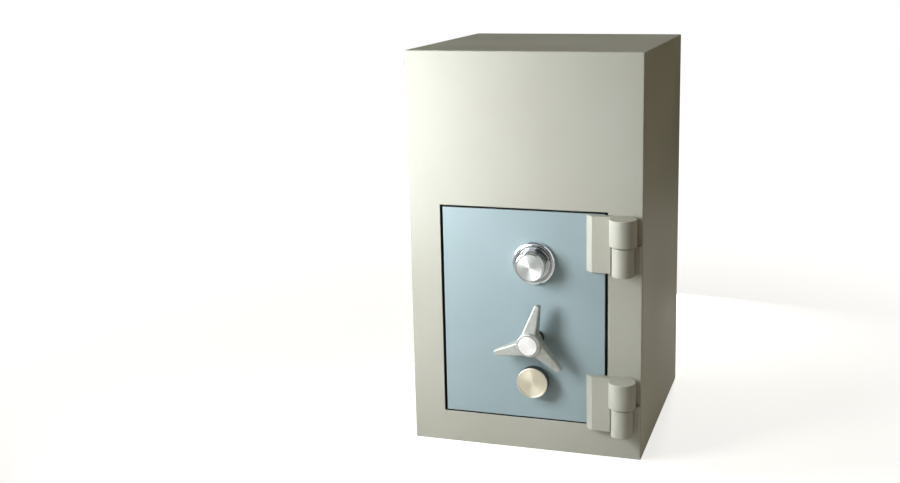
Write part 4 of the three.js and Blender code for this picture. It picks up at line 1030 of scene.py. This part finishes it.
# Inside of the door: rounded cover pan with its screws, and smooth locking bolts
coverLook = {
    "edgeRound": 5.0, "wall": 2.0, "portRadius": 10.3, "portReach": 12.0, "screwInset": 12.0,
    "screwProfile": [(0, -1), (3.0, -1), (3.0, 0), (4.4, 0), (4.2, 1.2), (3.2, 2.2), (1.6, 2.6), (0, 2.7)],
    "slotLow": (-5, 1.5, -0.5), "slotHigh": (5, 4, 0.5),
}
boltLook = {"chamfer": 2, "tailRadius": 6, "tailLength": 10, "edgeRound": 0.5}
boltNodes = ["locking_bolt_1", "locking_bolt_2", "locking_bolt_3"]


def makeScrew(spot):
    screw = turnPiece("cover_screw", spot, Vector((0, 1, 0)), coverLook["screwProfile"], 32)
    slotLow, slotHigh = (spot + Vector(coverLook[key]) * mm for key in ("slotLow", "slotHigh"))
    cutOut(screw, addBox("slot", slotLow, slotHigh))
    smoothShade(screw)
    return screw


def makeCover():
    look = coverLook
    low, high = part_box("boltwork_cover")
    pan = addBox("boltwork_pan", low, high)
    onBack = lambda a, b: not (a.y < low.y + mm and b.y < low.y + mm)
    bevelEdges(pan, onBack, look["edgeRound"] * mm, 5)
    wall = look["wall"] * mm
    hollowLow = (low.x + wall, low.y - 2 * over, low.z + wall)
    hollow = addBox("hollow", hollowLow, (high.x - wall, high.y - wall, high.z - wall))
    bevelEdges(hollow, onBack, (look["edgeRound"] - look["wall"]) * mm, 5)
    cutOut(pan, hollow)
    for node in boltNodes:
        boltLow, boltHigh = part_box(node)
        spot = Vector((low.x, (boltLow.y + boltHigh.y) / 2, (boltLow.z + boltHigh.z) / 2))
        reach = Vector((look["portReach"] * mm, 0, 0))
        cutOut(pan, addRod("port", look["portRadius"] * mm, spot - reach, spot + reach, 48))
    dress(pan, [bodyPaint], "door", "body_paint", "boltwork_cover")
    inset = look["screwInset"] * mm
    columns = [low.x + inset, high.x - inset]
    rows = [low.z + inset, (low.z + high.z) / 2, high.z - inset]
    screws = [makeScrew(Vector((x, high.y, z))) for x in columns for z in rows]
    screws = joinLoose("cover_screws", screws)
    setMaterials(screws, machinedSteel)
    mount(screws, "door", "boltwork_steel")


def makeBolts():
    chamfer, tail = boltLook["chamfer"], boltLook["tailRadius"]
    for index, node in enumerate(boltNodes, 1):
        low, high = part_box(node)
        radius = (high.z - low.z) / 2 / mm
        spot = Vector((low.x, (low.y + high.y) / 2, (low.z + high.z) / 2))
        length = (high.x - low.x) / mm
        shoulder = length - boltLook["tailLength"]
        nose = [(0, 0), (radius - chamfer, 0), (radius, chamfer), (radius, shoulder)]
        profile = [*nose, (tail, shoulder), (tail, length), (0, length)]
        bolt = turnPiece("round_bolt_" + str(index), spot, Vector((1, 0, 0)), profile, 64)
        roundAll(bolt, boltLook["edgeRound"] * mm)
        dress(bolt, [boltSteel], "boltwork", "turned_steel", node)


makeCover()
makeBolts()
print("inside of the door made")


# Pale floor and air, which the camera sees as white, soft lamps and the camera
floorLook = {
    "size": 14, "tone": (0.55, 0.53, 0.49, 1), "nearGlow": 0.74, "nearReach": 0.7, "farReach": 1.9,
    "mirrored": 0.35,
}


def seenRays(tree, share):
    rays = addNode(tree, "LightPath").outputs
    mirrored = maths(tree, "MULTIPLY", rays["Is Glossy Ray"], share)
    direct = maths(tree, "MAXIMUM", rays["Is Camera Ray"], mirrored)
    return maths(tree, "MAXIMUM", direct, rays["Is Transmission Ray"])


def makeFloor():
    deselectAll()
    bpy.ops.mesh.primitive_plane_add(size=floorLook["size"], location=(0, 0, 0))
    floor = takeNew("studio_floor")
    colours = {"Base_Color": floorLook["tone"], "Emission_Color": (1, 1, 1, 1)}
    material, tree, shader = newMaterial("paleFloor", Roughness=0.9, Specular_IOR_Level=0.0, **colours)
    place = addNode(tree, "TexCoord").outputs["Object"]
    away = addNode(tree, "VectorMath", {0: place}, operation="LENGTH").outputs["Value"]
    glow = spread(tree, away, floorLook["nearReach"], floorLook["farReach"], floorLook["nearGlow"], 1.0)
    strength = maths(tree, "MULTIPLY", seenRays(tree, floorLook["mirrored"]), glow)
    tree.links.new(strength, shader.inputs["Emission Strength"])
    setMaterials(floor, material)


lampLook = {
    "key": {
        "place": (-0.63, -0.95, 0.72), "aim": (0, -0.25, 0.6), "size": (0.36, 0.6), "power": 11.9,
        "colour": (0.96, 0.98, 1),
    },
    "side": {
        "place": (-1.5, -0.55, 1.0), "aim": (0.2, -0.53, 0.5), "size": (0.35, 0.8), "power": 2.3,
        "colour": (0.97, 0.98, 1), "spread": 50,
    },
    "front": {
        "place": (0.4, -3.2, 1.9), "aim": (0, 0, 0.4), "size": (2.2, 1.2), "power": 2,
        "colour": (1, 0.98, 0.94),
    },
    "top": {
        "place": (0, 0.1, 2.2), "aim": (0, 0.1, 0), "size": (0.8, 0.5), "power": 3.8,
        "colour": (1, 1, 0.92),
    },
    "rear": {
        "place": (0.2, 1.0, 0.43), "aim": (0.14, 0.25, 0.43), "size": (0.06, 0.82), "power": 5.8,
        "colour": (1, 1, 0.98),
    },
}


def makeLamps():
    for name, look in lampLook.items():
        lamp = bpy.data.lights.new(name + "Lamp", "AREA")
        lamp.shape = "RECTANGLE"
        lamp.size, lamp.size_y = look["size"]
        lamp.energy = look["power"]
        lamp.color = look["colour"]
        lamp.spread = math.radians(look.get("spread", 180))
        holder = bpy.data.objects.new(name + "Lamp", lamp)
        bpy.context.scene.collection.objects.link(holder)
        place = Vector(look["place"])
        aim = Vector(look["aim"]) - place
        holder.matrix_world = Matrix.Translation(place) @ aim.to_track_quat("-Z", "Y").to_matrix().to_4x4()


airLook = {
    "warm": (0.155, 0.108, 0.018, 1), "cool": (0.12, 0.13, 0.145, 1), "coolSide": (-0.85, -0.5, 0.15),
    "turnsCool": (-0.8, 0.9), "mirrored": 0.8,
}


def makeWorld():
    world = bpy.data.worlds.new("studioAir")
    world.use_nodes = True
    bpy.context.scene.world = world
    tree = world.node_tree
    tree.nodes.clear()
    direction = addNode(tree, "TexCoord").outputs["Generated"]
    side = addNode(tree, "VectorMath", {0: direction, 1: airLook["coolSide"]}, operation="DOT_PRODUCT")
    share = spread(tree, side.outputs["Value"], *airLook["turnsCool"])
    air = blendColour(tree, share, airLook["warm"], airLook["cool"])
    soft = addNode(tree, "Background", {"Color": air, "Strength": 1.0}).outputs[0]
    white = addNode(tree, "Background", {"Color": (1, 1, 1, 1), "Strength": 1.0}).outputs[0]
    mixed = addNode(tree, "MixShader", {0: seenRays(tree, airLook["mirrored"]), 1: soft, 2: white})
    out = addNode(tree, "OutputWorld")
    tree.links.new(mixed.outputs[0], out.inputs["Surface"])


# Dark cards above, in front and behind, which only polished surfaces see, and a flag that keeps the lamps in
# front from glaring on the top plate
cardTone = (0.02, 0.02, 0.022, 1)
cardLook = {
    "upper": {"place": (-0.1, -1.0, 2.5), "aim": (0, -0.3, 0.4), "size": (2.4, 1.5)},
    "front": {"place": (0.9, -3.0, 1.3), "aim": (0, -0.25, 0.5), "size": (3.0, 2.6)},
    "back": {"place": (0.4, 2.4, 0.95), "aim": (0.4, 0, 0.95), "size": (3.8, 2.1)},
    "flag": {"place": (-0.25, -0.262, 1.1), "aim": (-0.25, 0, 1.1), "size": (1.1, 0.46), "blocks": True},
}


def makeCards():
    material = newMaterial("blackCard", Roughness=0.9, Base_Color=cardTone)[0]
    for name, look in cardLook.items():
        deselectAll()
        place = Vector(look["place"])
        aim = Vector(look["aim"]) - place
        turn = aim.to_track_quat("Z", "Y").to_euler()
        bpy.ops.mesh.primitive_plane_add(size=1, location=place, rotation=turn)
        bpy.context.active_object.scale = (*look["size"], 1)
        card = takeNew("card_" + name)
        for ray in ("camera", "diffuse", "transmission", "volume_scatter"):
            setattr(card, "visible_" + ray, False)
        card.visible_shadow = look.get("blocks", False)
        setMaterials(card, material)


cameraLook = {
    "place": (0.647, -2.562, 1.061), "turn": 16.79, "tilt": 12.16, "roll": -0.91, "lens": 46.90, "sensor": 36,
    "shiftX": -0.0556, "shiftY": -0.0406,
}


def makeCamera():
    look = cameraLook
    data = bpy.data.cameras.new("photoCamera")
    data.lens = look["lens"]
    data.sensor_width = look["sensor"]
    data.shift_x, data.shift_y = look["shiftX"], look["shiftY"]
    camera = bpy.data.objects.new("photoCamera", data)
    bpy.context.scene.collection.objects.link(camera)
    turn = Matrix.Rotation(math.radians(look["turn"]), 4, "Z")
    tilt = Matrix.Rotation(math.radians(90 - look["tilt"]), 4, "X")
    roll = Matrix.Rotation(math.radians(look["roll"]), 4, "Z")
    camera.matrix_world = Matrix.Translation(look["place"]) @ turn @ tilt @ roll
    bpy.context.scene.camera = camera


makeFloor()
makeLamps()
makeWorld()
makeCards()
makeCamera()
bpy.context.scene.view_settings.view_transform = "Standard"

print("scene done")
